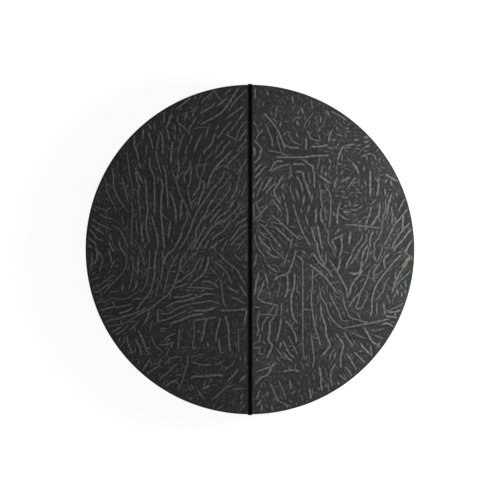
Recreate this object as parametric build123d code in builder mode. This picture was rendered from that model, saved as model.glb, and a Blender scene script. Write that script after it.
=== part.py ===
"""Folding insulated cover for a round spa: two tapered foam halves in sewn vinyl jackets, joined by a hinge.

Frame: X runs across the hinge, Y runs along it, and Z points up. The origin is under the middle of the
hinge, on the surface that the hem of the skirt stands on. All sizes are in millimetres.
"""

import math
import os

from build123d import *

# ---------------------------------------------------------------- driving dimensions
cover_diameter = 2050
hinge_thickness = 124  # jacket outside, bottom face to top face at the hinge
rim_thickness = 84  # the same at the far rim, so that rain runs off
skirt_drop = 120  # hem to bottom face
half_gap = 10  # hinge line to the hinge face of each half
rim_overhang = 20  # the skirt hangs this far inside the rim, so the locks stay under the rim

vinyl = 1.5
film = 0.4
layer_play = 0.1  # between one layer of the jacket and the next
hinge_play = 0.3  # between the two halves

edge_radius = 6  # where the top turns down over the rim
corner_radius = 8  # in plan, at the two ends of the hinge
seat_corner = 4
lip_depth = 22  # how far the top panel turns down over the wall
wall_top_drop = 8  # the wall stops this far below the top face
wall_seam = 30  # hinge line to the seam between side band and end panel
film_seam_drop = 40  # top face to the weld between the two sheets of film
zip_room = 2.0  # between bottom panel and film

# steel channel that stiffens the hinge face of each core
channel_length = 1900
channel_steel = 1.2
channel_flange = 45
channel_cover = 1  # least foam over its upper flange

# skirt
skirt_panels = 6  # to each half
skirt_end = 18  # hinge line to the end of the skirt
skirt_slit = 2.0
hem_height = 14
hem_fold = 1.2

# zip in the bottom panel
zip_line = 60  # hinge line to the middle of the zip
zip_length = 1700
zip_slot = 8
zip_gap = 1.6  # between the two coils, where the slider's post runs
tape_width = 15
tape_thickness = 0.6
coil_width = 2.0
coil_thickness = 1.6
slider_length = 15
slider_width = 6.6
slider_post = 0.9
slider_play = 0.3
slider_roof = 0.9
slider_sole = 1.6
slider_corner = 2
slider_margin = 4  # zip's end to slider
lug_length = 4.4
lug_width = 2.2
lug_height = 3.2
pull_drop = 1.7  # slider to pull's pin
pull_length = 38
pull_width = 6
pull_thickness = 1.4
pull_above_pin = 1.1
fork_play = 0.3
pin_radius = 0.8
pin_play = 0.1

# drain eyelets, flush in the bottom panel
eyelet_radius = 9
eyelet_hole_radius = 4.5
eyelet_places = [(330, -560), (620, 0), (330, 560)]

# hinge seal and hinge web
seal_lift = 2  # above the bottom face
seal_height = 96
seal_vinyl = 1.2
seal_end = 7  # rim to end of seal
web_depth = 14  # ridge to underside of the gutter
web_vinyl = 1.4
web_top_drop = 0.5
tab_half_width = 13.5
tab_drop = 20
tab_rise = 1
tab_reach = 6  # the tab stands this far outside the rim
tab_corner = 4

# webbing, and how it is sewn under the rim
webbing = 1.6
webbing_width = 25
sewn_inner = 3  # outside of the skirt to the sewn end
sewn_outer = 16
sewn_pieces_gap = 1.3  # sewn end to the part of the same strap that swings

# lock straps, one in each quarter of the rim
strap_front_angle = 36
strap_rear_angle = 34  # so that no two locks face each other across the cover
strap_stand_off = 0.5  # outside of the skirt to the tail of the strap
strap_bend = 92  # height of the fold round the clip's bar
strap_bend_radius = 2.0
strap_tail_top = 112
strap_tail_radius = 0.4
bar_gap = 6.4  # between the two legs of the webbing
# male clip
clip_width = 34
clip_foot = 74
clip_top = 104
clip_thickness = 5
clip_corner = 4
window_width = 27
window_foot = 87
window_top = 98
prong_length = 25
prong_thickness = 4
prong_root = 1
tongue_width = 10
arm_width = 4
arm_offset = 12
barb = 1.6
barb_length = 6
# lock housing
lock_width = 44
lock_foot = 28
lock_top = 73.6
lock_back = 1.6  # outside of the skirt to the back of the housing, which slides past the hem
lock_depth = 16.3
lock_corner = 6
lock_edge = 2
socket_width = 31.4
socket_foot = 47.5
socket_play = 0.4
ear_span = 66
ear_foot = 30
ear_top = 46
ear_thickness = 4
screw_spacing = 54
screw_radius = 2.25
screw_height = 38
barrel_radius = 6
barrel_play = 0.08
barrel_height = 38
barrel_depth = 9
barrel_proud = 0.4
key_slot_width = 1.6
key_slot_height = 7
key_slot_depth = 2.6

# carrying handles, beside the ends of the hinge
handle_angle = 74
handle_span = 120  # between the middles of the two legs
handle_foot = 40
handle_run = 20  # width of the webbing where the grip holds it
handle_corner = 20
handle_stand_off = 3.2  # outside of the skirt to the back of the webbing
grip_length = 92
grip_height = 24
grip_back = 0.7
grip_depth = 10
grip_corner = 4.5

# ---------------------------------------------------------------- worked out from those
rim_radius = cover_diameter / 2
skirt_radius = rim_radius - rim_overhang
seat_height = skirt_drop
ridge_height = seat_height + hinge_thickness
slope = math.atan((hinge_thickness - rim_thickness) / (rim_radius - half_gap))
top_plane = Plane(
    origin=(half_gap, 0, ridge_height),
    x_dir=(math.cos(slope), 0, -math.sin(slope)),
    z_dir=(math.sin(slope), 0, math.cos(slope)),
)
wall_inset = vinyl + layer_play
film_inset = 2 * wall_inset
core_inset = film_inset + film + layer_play
film_floor = seat_height + vinyl + zip_room
core_floor = film_floor + film + layer_play
tape_foot = seat_height + vinyl + layer_play
coil_foot = tape_foot - coil_thickness
slider_y = slider_margin + slider_length / 2 - zip_length / 2
slider_foot = coil_foot - slider_play - slider_sole
slider_head = tape_foot + tape_thickness + slider_play
pin_height = slider_foot - pull_drop
seal_foot = seat_height + seal_lift
seal_top = seal_foot + seal_height
seal_half_width = half_gap + wall_inset - layer_play
sewn_top = seat_height - layer_play
swing_top = sewn_top - webbing - sewn_pieces_gap
prong_back = strap_stand_off + webbing + (bar_gap - prong_thickness) / 2
clip_back = strap_stand_off + webbing + (bar_gap - clip_thickness) / 2


# ---------------------------------------------------------------- planes and envelopes
def radial_plane(angle: float) -> Plane:
    """The upright plane through the Z axis at an angle: its x points outwards and its y points up."""
    c, s = math.cos(math.radians(angle)), math.sin(math.radians(angle))
    return Plane(origin=(0, 0, 0), x_dir=(c, s, 0), z_dir=(s, -c, 0))


def front_plane(angle: float, out: float = 0) -> Plane:
    """The upright plane that touches the skirt at an angle, moved out: x runs along it and y points up."""
    c, s = math.cos(math.radians(angle)), math.sin(math.radians(angle))
    r = skirt_radius + out
    return Plane(origin=(r * c, r * s, 0), x_dir=(-s, c, 0), z_dir=(c, s, 0))


def cross_plane(angle: float) -> Plane:
    """The upright plane across the skirt at an angle: x is the distance outside it and y points up."""
    c, s = math.cos(math.radians(angle)), math.sin(math.radians(angle))
    return Plane(origin=(skirt_radius * c, skirt_radius * s, 0), x_dir=(c, s, 0), z_dir=(s, -c, 0))


def half_plan(radius: float, face: float, corner: float) -> Sketch:
    """The right half from above: a disc cut off at the distance face from the hinge line."""
    with BuildSketch() as plan:
        Circle(radius)
        with Locations((face + cover_diameter, 0)):
            Rectangle(2 * cover_diameter, 2 * cover_diameter, mode=Mode.INTERSECT)
        fillet(plan.vertices(), corner)
    return plan.sketch


def inset_plan(inset: float) -> Sketch:
    """The right half's outline, moved in all round."""
    return half_plan(rim_radius - inset, half_gap + inset, corner_radius - inset)


def half_body(inset: float, floor: float, top_drop: float, rounded: float = 0) -> Part:
    """A solid right half with its top face lowered by top_drop, and that face's edge rounded or sharp."""
    with BuildPart() as body:
        with BuildSketch(Plane.XY.offset(floor)):
            add(inset_plan(inset))
        extrude(amount=ridge_height)
        split(bisect_by=top_plane.offset(-top_drop), keep=Keep.BOTTOM)
        if rounded:
            fillet(body.faces().sort_by(Axis.Z)[-1].edges(), rounded)
    return body.part


def block(low: tuple[float, float, float], high: tuple[float, float, float]) -> Part:
    """A box between two corners."""
    with BuildPart() as box:
        with BuildSketch(Plane.XY.offset(low[2])):
            with Locations(((low[0] + high[0]) / 2, (low[1] + high[1]) / 2)):
                Rectangle(high[0] - low[0], high[1] - low[1])
        extrude(amount=high[2] - low[2])
    return box.part


# ---------------------------------------------------------------- jacket of the right half
def top_panel() -> Part:
    """The grained top, turned down over the rim and over the hinge face."""
    with BuildPart() as panel:
        add(half_body(0, seat_height, 0, edge_radius))
        add(half_body(vinyl, seat_height, vinyl, edge_radius - vinyl), mode=Mode.SUBTRACT)
        split(bisect_by=top_plane.offset(-lip_depth), keep=Keep.TOP)
    return panel.part


def jacket_wall() -> Part:
    """The upright wall with its turn-in under the rim, before it is cut into band and end panel."""
    with BuildPart() as wall:
        add(half_body(wall_inset, seat_height, wall_top_drop))
        with BuildSketch(Plane.XY.offset(seat_height + vinyl)):
            add(inset_plan(wall_inset + vinyl))
        extrude(amount=ridge_height, mode=Mode.SUBTRACT)
        with BuildSketch(Plane.XY.offset(seat_height)):
            add(half_plan(skirt_radius + layer_play, half_gap + wall_inset + vinyl, seat_corner))
        extrude(amount=vinyl, mode=Mode.SUBTRACT)
    return wall.part


def side_band() -> Part:
    """The curved part of the wall, round the rim."""
    with BuildPart() as band:
        add(jacket_wall())
        split(bisect_by=Plane.YZ.offset(wall_seam), keep=Keep.TOP)
    return band.part


def end_panel() -> Part:
    """The flat part of the wall, against the hinge."""
    with BuildPart() as panel:
        add(jacket_wall())
        split(bisect_by=Plane.YZ.offset(wall_seam), keep=Keep.BOTTOM)
    return panel.part


def bottom_panel() -> Part:
    """The flat underside that lies on the spa's lip, with the zip's slot and the drain holes."""
    with BuildPart() as panel:
        with BuildSketch(Plane.XY.offset(seat_height)):
            add(half_plan(skirt_radius - vinyl - layer_play, half_gap + film_inset, seat_corner))
            with Locations((zip_line, 0)):
                SlotOverall(zip_length + zip_slot, zip_slot, rotation=90, mode=Mode.SUBTRACT)
            with Locations(*eyelet_places):
                Circle(eyelet_radius + layer_play, mode=Mode.SUBTRACT)
        extrude(amount=vinyl)
    return panel.part


def drain_eyelets() -> Part:
    """Flat rings that let water out of the jacket."""
    with BuildPart() as eyelets:
        with BuildSketch(Plane.XY.offset(seat_height)):
            with Locations(*eyelet_places):
                Circle(eyelet_radius)
                Circle(eyelet_hole_radius, mode=Mode.SUBTRACT)
        extrude(amount=vinyl)
    return eyelets.part


# ---------------------------------------------------------------- core of the right half
def vapour_film() -> Part:
    """Upper sheet and lower tray of film, welded together round the core."""
    with BuildPart() as wrap:
        add(half_body(film_inset, film_floor, film_inset))
        add(half_body(film_inset + film, film_floor + film, film_inset + film), mode=Mode.SUBTRACT)
        with BuildSketch(top_plane.offset(-film_seam_drop)):
            Rectangle(2 * cover_diameter, 2 * cover_diameter)
        extrude(amount=layer_play, mode=Mode.SUBTRACT)
    return wrap.part


def channel_body(play: float) -> Part:
    """The C-shaped channel, open towards the rim. Play makes the recess that holds it."""
    face = half_gap + core_inset
    top = ridge_height - core_inset - channel_flange * math.tan(slope) - channel_cover
    steel = channel_steel + play
    with BuildPart() as channel:
        with BuildSketch(Plane.XZ):
            with Locations((face + channel_flange / 2, (core_floor + top) / 2)):
                Rectangle(channel_flange, top - core_floor)
            with Locations((face + steel + channel_flange / 2, (core_floor + top) / 2)):
                Rectangle(channel_flange, top - core_floor - 2 * steel, mode=Mode.SUBTRACT)
        extrude(amount=channel_length / 2 + play, both=True)
    return channel.part


def steel_channel() -> Part:
    """The pressed channel that stiffens the hinge face of the core."""
    return channel_body(0)


def foam_core() -> Part:
    """The tapered foam slab, relieved where the channel sits flush in its hinge face."""
    with BuildPart() as core:
        add(half_body(core_inset, core_floor, core_inset))
        add(channel_body(layer_play), mode=Mode.SUBTRACT)
    return core.part


# ---------------------------------------------------------------- skirt of the right half
def skirt_angles() -> tuple[list[float], float]:
    """The start angle of each skirt panel, and the arc of one."""
    end = math.degrees(math.acos(skirt_end / skirt_radius))
    slit = math.degrees(skirt_slit / skirt_radius)
    pitch = 2 * end / skirt_panels
    return [-end + n * pitch + slit / 2 for n in range(skirt_panels)], pitch - slit


def skirt() -> Part:
    """The flap that hangs outside the spa's lip, sewn between the turn-in and the bottom panel."""
    starts, arc = skirt_angles()
    top = seat_height + vinyl
    with BuildPart() as flap:
        for start in starts:
            with BuildSketch(radial_plane(start)):
                with Locations((skirt_radius - vinyl / 2, (hem_fold + top) / 2)):
                    Rectangle(vinyl, top - hem_fold)
            revolve(axis=Axis.Z, revolution_arc=arc)
    return flap.part


def skirt_hem() -> Part:
    """A binding folded over the bottom edge of each skirt panel."""
    starts, arc = skirt_angles()
    middle = skirt_radius - vinyl / 2
    with BuildPart() as hem:
        for start in starts:
            with BuildSketch(radial_plane(start)):
                with Locations((middle, hem_height / 2)):
                    Rectangle(vinyl + 2 * hem_fold, hem_height)
                with Locations((middle, hem_fold + hem_height / 2)):
                    Rectangle(vinyl, hem_height, mode=Mode.SUBTRACT)
            revolve(axis=Axis.Z, revolution_arc=arc)
    return hem.part


# ---------------------------------------------------------------- zip of the right half
def zip_strips(foot: float, width: float, thickness: float) -> Part:
    """One long strip on each side of the gap that the slider's post runs in."""
    with BuildPart() as strips:
        with BuildSketch(Plane.XY.offset(foot)):
            for side in (-1, 1):
                with Locations((zip_line + side * (zip_gap + width) / 2, 0)):
                    Rectangle(width, zip_length)
        extrude(amount=thickness)
    return strips.part


def zip_tapes() -> Part:
    """The two woven tapes, sewn inside the bottom panel along its slot."""
    return zip_strips(tape_foot, tape_width, tape_thickness)


def zip_coils() -> Part:
    """The two rows of teeth, in the slot under the tapes."""
    return zip_strips(coil_foot, coil_width, coil_thickness)


def zip_slider() -> Part:
    """Sole and roof plates on one post, with a lug below that carries the pull."""
    with BuildPart() as slider:
        for foot, thickness in ((slider_foot, slider_sole), (slider_head, slider_roof)):
            with BuildSketch(Plane.XY.offset(foot)):
                with Locations((zip_line, slider_y)):
                    RectangleRounded(slider_width, slider_length, slider_corner)
            extrude(amount=thickness)
        with BuildSketch(Plane.XY.offset(slider_foot)):
            with Locations((zip_line, slider_y)):
                Rectangle(slider_post, slider_length - 2 * slider_corner)
        extrude(amount=slider_head + slider_roof - slider_foot)
        with BuildSketch(Plane.YZ.offset(zip_line)):
            with Locations((slider_y, slider_foot - lug_height / 2 + slider_roof / 2)):
                RectangleRounded(lug_length, lug_height + slider_roof, pin_radius)
            with Locations((slider_y, pin_height)):
                Circle(pin_radius + pin_play, mode=Mode.SUBTRACT)
        extrude(amount=lug_width / 2, both=True)
    return slider.part


def zip_pull() -> Part:
    """A flat pull that hangs down, with a forked end whose pin runs through the slider's lug."""
    top = pin_height + pull_above_pin
    fork = lug_height + pull_above_pin
    with BuildPart() as pull:
        with BuildSketch(Plane.XZ.offset(-slider_y - pull_thickness / 2)):
            with Locations((zip_line, top - pull_length / 2)):
                RectangleRounded(pull_width, pull_length, pull_above_pin)
            with Locations((zip_line, top - fork / 2)):
                Rectangle(lug_width + 2 * fork_play, fork, mode=Mode.SUBTRACT)
            with Locations((zip_line, top - pull_length + pull_width)):
                Circle(pull_width / 4, mode=Mode.SUBTRACT)
        extrude(amount=pull_thickness)
        with BuildSketch(Plane.YZ.offset(zip_line)):
            with Locations((slider_y, pin_height)):
                Circle(pin_radius)
        extrude(amount=pull_width / 2 - fork_play, both=True)
    return pull.part


# ---------------------------------------------------------------- hinge
def seal_bar(inset: float) -> Part:
    """The bar that fills the gap between the halves, moved in all round."""
    end = rim_radius - seal_end - inset
    return block(
        (inset - seal_half_width, -end, seal_foot + inset),
        (seal_half_width + layer_play - hinge_play - inset, end, seal_top - inset),
    )


def hinge_seal_core() -> Part:
    """Foam bar on the left half, which the right half closes against."""
    return seal_bar(seal_vinyl)


def hinge_seal_sleeve() -> Part:
    """The vinyl sleeve of the bar: a trough, and the strip sewn over it."""
    seam = seal_top - seal_vinyl
    with BuildPart() as sleeve:
        add(seal_bar(0))
        add(seal_bar(seal_vinyl), mode=Mode.SUBTRACT)
        with BuildSketch(Plane.XY.offset(seam)):
            Rectangle(cover_diameter, cover_diameter)
        extrude(amount=layer_play, mode=Mode.SUBTRACT)
    return sleeve.part


def hinge_web() -> Part:
    """The gutter of vinyl that joins the halves, with a tab turned down over the rim at each end."""
    half_width = half_gap - hinge_play
    floor = ridge_height - web_depth
    top = ridge_height - web_top_drop
    inner = rim_radius + hinge_play
    outer = rim_radius + tab_reach
    with BuildPart() as web:
        add(block((-half_width, -inner, floor), (half_width, inner, top)))
        add(
            block(
                (web_vinyl - half_width, -outer, floor + web_vinyl),
                (half_width - web_vinyl, outer, top),
            ),
            mode=Mode.SUBTRACT,
        )
        for near, far in ((inner, outer), (-outer, -inner)):
            add(
                block(
                    (-tab_half_width, near, ridge_height - tab_drop),
                    (tab_half_width, far, ridge_height + tab_rise),
                )
            )
        corners = (
            web.edges()
            .filter_by(Axis.Z)
            .filter_by(lambda edge: abs(edge.center().Y) > outer - tab_corner)
        )
        fillet(corners, tab_corner)
    return web.part


# ---------------------------------------------------------------- webbing sewn under the rim
def sewn_end(angle: float, along: float) -> Part:
    """The flat end of a strap under the turn-in of the rim, at a distance along from the strap's middle."""
    with BuildPart() as end:
        with BuildSketch(front_plane(angle, sewn_inner)):
            with Locations((along, sewn_top - webbing / 2)):
                Rectangle(webbing_width, webbing)
        extrude(amount=sewn_outer - sewn_inner)
    return end.part


def strap_ends() -> Part:
    """The sewn ends of the right half's lock straps."""
    with BuildPart() as ends:
        for angle in (-strap_front_angle, strap_rear_angle):
            add(sewn_end(angle, 0))
    return ends.part


def handle_ends() -> Part:
    """The sewn ends of the right half's carrying handles."""
    with BuildPart() as ends:
        for angle in (-handle_angle, handle_angle):
            for side in (-1, 1):
                add(sewn_end(angle, side * handle_span / 2))
    return ends.part


# ---------------------------------------------------------------- lock straps
def strap_webbing(angle: float) -> Part:
    """The hanging part of a lock strap, folded up behind the bar of its clip."""
    back = strap_stand_off
    front = back + webbing + bar_gap
    outside = [(front + webbing, swing_top), (front + webbing, strap_bend)]
    outside += [(back, strap_bend), (back, strap_tail_top)]
    inside = [(back + webbing, strap_tail_top), (back + webbing, strap_bend + webbing)]
    inside += [(front, strap_bend + webbing), (front, swing_top)]
    with BuildPart() as strap:
        with BuildSketch(cross_plane(angle)):
            with BuildLine():
                FilletPolyline(*outside, radius=strap_bend_radius)
                Line(outside[-1], inside[0])
                FilletPolyline(*inside, radius=strap_tail_radius)
                Line(inside[-1], outside[0])
            make_face()
        extrude(amount=webbing_width / 2, both=True)
    return strap.part


def strap_clip(angle: float) -> Part:
    """The male half of a lock: a frame with a window for the webbing, a tongue and two barbed arms."""
    with BuildPart() as clip:
        with BuildSketch(front_plane(angle, clip_back)):
            with Locations((0, (clip_foot + clip_top) / 2)):
                RectangleRounded(clip_width, clip_top - clip_foot, clip_corner)
            with Locations((0, (window_foot + window_top) / 2)):
                Rectangle(window_width, window_top - window_foot, mode=Mode.SUBTRACT)
        extrude(amount=clip_thickness)
        with BuildSketch(front_plane(angle, prong_back)):
            middle = clip_foot + prong_root - (prong_length + prong_root) / 2
            with Locations((0, middle)):
                Rectangle(tongue_width, prong_length + prong_root)
            for side in (-1, 1):
                with Locations((side * arm_offset, middle)):
                    Rectangle(arm_width, prong_length + prong_root)
                with Locations((side * (arm_offset + barb / 2), clip_foot - prong_length + barb_length / 2)):
                    Rectangle(arm_width + barb, barb_length)
        extrude(amount=prong_thickness)
    return clip.part


def lock_housing(angle: float) -> Part:
    """The keyed half of a lock: a body with a socket open at the top, and an ear with a screw hole each side."""
    with BuildPart() as housing:
        with BuildSketch(front_plane(angle, lock_back)):
            with Locations((0, (lock_foot + lock_top) / 2)):
                RectangleRounded(lock_width, lock_top - lock_foot, lock_corner)
        extrude(amount=lock_depth)
        outwards = Axis(front_plane(angle).origin, front_plane(angle).z_dir)
        fillet(housing.faces().sort_by(outwards)[-1].edges(), lock_edge)
        with BuildSketch(front_plane(angle, lock_back)):
            with Locations((0, (ear_foot + ear_top) / 2)):
                RectangleRounded(ear_span, ear_top - ear_foot, lock_corner)
        extrude(amount=ear_thickness)
        with BuildSketch(front_plane(angle, lock_back)):
            with Locations((-screw_spacing / 2, screw_height), (screw_spacing / 2, screw_height)):
                Circle(screw_radius)
        extrude(amount=ear_thickness, mode=Mode.SUBTRACT)
        with BuildSketch(front_plane(angle, prong_back - socket_play)):
            with Locations((0, (socket_foot + lock_top) / 2 + lock_corner)):
                Rectangle(socket_width, lock_top - socket_foot + 2 * lock_corner)
        extrude(amount=prong_thickness + 2 * socket_play, mode=Mode.SUBTRACT)
        with BuildSketch(front_plane(angle, lock_back + lock_depth - barrel_depth)):
            with Locations((0, barrel_height)):
                Circle(barrel_radius + barrel_play)
        extrude(amount=lock_depth, mode=Mode.SUBTRACT)
    return housing.part


def lock_barrel(angle: float) -> Part:
    """The key barrel, which turns in the front of a lock housing."""
    foot = lock_back + lock_depth - barrel_depth + layer_play
    face = lock_back + lock_depth + barrel_proud
    with BuildPart() as barrel:
        with BuildSketch(front_plane(angle, foot)):
            with Locations((0, barrel_height)):
                Circle(barrel_radius)
        extrude(amount=face - foot)
        with BuildSketch(front_plane(angle, face - key_slot_depth)):
            with Locations((0, barrel_height)):
                Rectangle(key_slot_width, key_slot_height)
        extrude(amount=key_slot_depth, mode=Mode.SUBTRACT)
    return barrel.part


# ---------------------------------------------------------------- carrying handles
def handle_webbing(angle: float) -> Part:
    """The U of webbing that hangs from two sewn ends."""
    height = swing_top - handle_foot
    with BuildPart() as loop:
        with BuildSketch(front_plane(angle, handle_stand_off)) as outline:
            with Locations((0, handle_foot + height / 2)):
                Rectangle(handle_span + webbing_width, height)
            fillet(outline.vertices().group_by(Axis.Z)[0], handle_corner)
            with Locations((0, handle_foot + handle_run + height / 2)):
                Rectangle(handle_span - webbing_width, height, mode=Mode.SUBTRACT)
        extrude(amount=webbing)
    return loop.part


def handle_grip(angle: float) -> Part:
    """The padded sleeve round the bottom run of a handle."""
    middle = handle_foot + handle_run / 2
    with BuildPart() as grip:
        with BuildSketch(cross_plane(angle)):
            with Locations((grip_back + grip_depth / 2, middle)):
                RectangleRounded(grip_depth, grip_height, grip_corner)
            with Locations((handle_stand_off + webbing / 2, middle)):
                Rectangle(webbing + 2 * layer_play, handle_run + 2 * layer_play, mode=Mode.SUBTRACT)
        extrude(amount=grip_length / 2, both=True)
    return grip.part


# ---------------------------------------------------------------- everything written
half_pieces = [
    top_panel,
    side_band,
    end_panel,
    bottom_panel,
    drain_eyelets,
    vapour_film,
    steel_channel,
    foam_core,
    skirt,
    skirt_hem,
    zip_tapes,
    zip_coils,
    zip_slider,
    zip_pull,
    strap_ends,
    handle_ends,
]
strap_pieces = [strap_webbing, strap_clip, lock_housing, lock_barrel]
handle_pieces = [handle_webbing, handle_grip]
quarters = {
    "right_front": (-strap_front_angle, -handle_angle),
    "right_rear": (strap_rear_angle, handle_angle),
    "left_rear": (180 - strap_rear_angle, 180 - handle_angle),
    "left_front": (180 + strap_front_angle, 180 + handle_angle),
}


def write(piece: Part, name: str) -> None:
    """Writes one sub-part under its name."""
    piece.label = name
    export_step(piece, f"parts/{name}.step")


def main() -> None:
    """Builds every sub-part of both halves, of the hinge and of the four quarters of the rim."""
    os.makedirs("parts", exist_ok=True)
    for make in half_pieces:
        right = make()
        with BuildPart() as left:
            mirror(right, about=Plane.YZ)
        write(right, f"{make.__name__}_right")
        write(left.part, f"{make.__name__}_left")
    for make in (hinge_seal_core, hinge_seal_sleeve, hinge_web):
        write(make(), make.__name__)
    for quarter, (strap, handle) in quarters.items():
        for make in strap_pieces:
            write(make(strap), f"{make.__name__}_{quarter}")
        for make in handle_pieces:
            write(make(handle), f"{make.__name__}_{quarter}")


main()
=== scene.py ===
"""Looks of a folding round spa cover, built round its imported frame.

X runs across the hinge, Y along it and Z points up. Every length is in metres. The foam halves, the film
and the steel stay inside their jackets; each vinyl panel, strap, seam and pad is built here.
"""

import logging
import math
from dataclasses import dataclass, field
from enum import Enum
from typing import Callable, Iterable, Sequence

import bmesh
import bpy
import numpy as np
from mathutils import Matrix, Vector, geometry, kdtree, noise


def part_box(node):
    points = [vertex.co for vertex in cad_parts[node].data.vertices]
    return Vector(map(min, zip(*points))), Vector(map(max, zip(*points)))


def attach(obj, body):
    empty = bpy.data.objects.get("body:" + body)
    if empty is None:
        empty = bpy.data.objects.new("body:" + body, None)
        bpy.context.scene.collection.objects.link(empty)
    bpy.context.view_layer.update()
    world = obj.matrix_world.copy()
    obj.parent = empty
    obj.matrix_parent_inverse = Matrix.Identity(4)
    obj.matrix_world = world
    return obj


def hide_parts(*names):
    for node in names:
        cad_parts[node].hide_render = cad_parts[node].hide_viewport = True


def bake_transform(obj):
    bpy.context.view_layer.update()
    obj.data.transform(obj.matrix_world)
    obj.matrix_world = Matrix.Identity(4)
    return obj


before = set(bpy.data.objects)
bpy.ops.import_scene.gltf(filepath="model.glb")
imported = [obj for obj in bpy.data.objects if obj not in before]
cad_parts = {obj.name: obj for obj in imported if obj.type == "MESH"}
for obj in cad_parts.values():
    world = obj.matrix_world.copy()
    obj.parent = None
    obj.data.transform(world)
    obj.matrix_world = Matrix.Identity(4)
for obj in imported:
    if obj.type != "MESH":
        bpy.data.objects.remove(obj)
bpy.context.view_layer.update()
LOG = logging.getLogger("spa_cover")
Point2 = tuple[float, float]
Colour = tuple[float, float, float]


# ------------------------------------------------------------------ named options
class Half(Enum):
    """The two halves of the cover, by the side of the hinge that they lie on."""

    LEFT = -1
    RIGHT = 1

    @property
    def word(self) -> str:
        """The half's name as it ends the names of its pieces."""
        return self.name.lower()

    @property
    def body(self) -> str:
        """The moving body that this half rides on."""
        return f"{self.word}_half"


class Quarter(Enum):
    """The four quarters of the rim, each with a lock strap and a carrying handle."""

    RIGHT_FRONT = (1, -1)
    RIGHT_REAR = (1, 1)
    LEFT_REAR = (-1, 1)
    LEFT_FRONT = (-1, -1)

    @property
    def word(self) -> str:
        """The quarter's name as it ends the names of its pieces."""
        return self.name.lower()

    @property
    def half(self) -> Half:
        """The half that the quarter belongs to."""
        return Half(self.value[0])

    @property
    def strap_angle(self) -> float:
        """Degrees between the X axis and this quarter's lock strap, in plan."""
        return STRAP_ANGLES[0 if self.value[1] < 0 else 1]

    def bearing(self, angle: float) -> float:
        """Turns an angle from the X axis into this quarter's bearing.

        Args:
            angle: Degrees between the X axis and the piece, in plan.

        Returns:
            The bearing in radians, anticlockwise from +X.
        """
        turned = angle if self.value[1] > 0 else -angle
        return math.radians(turned if self.value[0] > 0 else 180 - turned)


class Effect(Enum):
    """Shared shader effects, each built once as a node group."""

    LEATHER = "leather_grain"
    WEAVE = "woven_threads"
    WEAR = "edge_wear"
    DUST = "settled_dust"
    MOTTLE = "uneven_dye"


# ------------------------------------------------------------------ shader building
def linear(red: float, green: float, blue: float) -> Colour:
    """Turns a colour as the eye reads it, from 0 to 255, into light values.

    Args:
        red: Red, 0 to 255.
        green: Green, 0 to 255.
        blue: Blue, 0 to 255.

    Returns:
        The three light values, 0 to 1.
    """

    def channel(value: float) -> float:
        """One channel's light value."""
        share = value / 255
        return share / 12.92 if share <= 0.04045 else ((share + 0.055) / 1.055) ** 2.4

    return channel(red), channel(green), channel(blue)


@dataclass
class NodeBoard:
    """A node tree with short calls for adding and wiring its nodes."""

    tree: bpy.types.NodeTree

    def add(self, kind: str, inputs: dict | None = None, **settings: object) -> bpy.types.Node:
        """Adds one node.

        Args:
            kind: The node's type name.
            inputs: For each input's name or index, a value or the socket that feeds it.
            settings: Attributes set on the node.

        Returns:
            The new node.
        """
        node = self.tree.nodes.new(kind)
        for name, value in settings.items():
            setattr(node, name, value)
        for name, value in (inputs or {}).items():
            self.feed(node.inputs[name], value)
        return node

    def feed(self, socket: bpy.types.NodeSocket, value: object) -> None:
        """Links a socket into an input, or sets the input's own value."""
        if isinstance(value, bpy.types.NodeSocket):
            self.tree.links.new(value, socket)
        elif isinstance(value, tuple) and len(value) == 3 and socket.type == "RGBA":
            socket.default_value = (*value, 1.0)
        else:
            socket.default_value = value

    def calc(
        self, operation: str, first: object, second: object = 0.0, third: object = 0.0
    ) -> bpy.types.NodeSocket:
        """Adds a Math node and returns its result."""
        node = self.add("ShaderNodeMath", {0: first, 1: second, 2: third}, operation=operation)
        return node.outputs[0]

    def remap(
        self, value: object, low: float, high: float, new_low: float = 0.0, new_high: float = 1.0
    ) -> bpy.types.NodeSocket:
        """Adds a clamped Map Range node and returns its result."""
        spans = {"Value": value, "From Min": low, "From Max": high, "To Min": new_low, "To Max": new_high}
        return self.add("ShaderNodeMapRange", spans).outputs["Result"]

    def tint(self, share: object, first: object, second: object) -> bpy.types.NodeSocket:
        """Mixes two colours by a share and returns the mixed colour."""
        node = self.add("ShaderNodeMix", data_type="RGBA")
        for index, value in ((0, share), (6, first), (7, second)):
            self.feed(node.inputs[index], value)
        return node.outputs[2]

    def toned(self, colour: object, share: object) -> bpy.types.NodeSocket:
        """Scales a colour or a vector by a share and returns the result."""
        node = self.add("ShaderNodeVectorMath", {0: colour, "Scale": share}, operation="SCALE")
        return node.outputs[0]

    def place(self) -> bpy.types.NodeSocket:
        """The point on the piece, in the frame's metres."""
        return self.add("ShaderNodeTexCoord").outputs["Object"]

    def speckle(self, scale: object, detail: float = 3.0, where: object = None) -> bpy.types.NodeSocket:
        """Adds a noise texture and returns its value."""
        spot = where or self.place()
        node = self.add("ShaderNodeTexNoise", {"Vector": spot, "Scale": scale, "Detail": detail})
        return node.outputs["Fac"]


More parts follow.
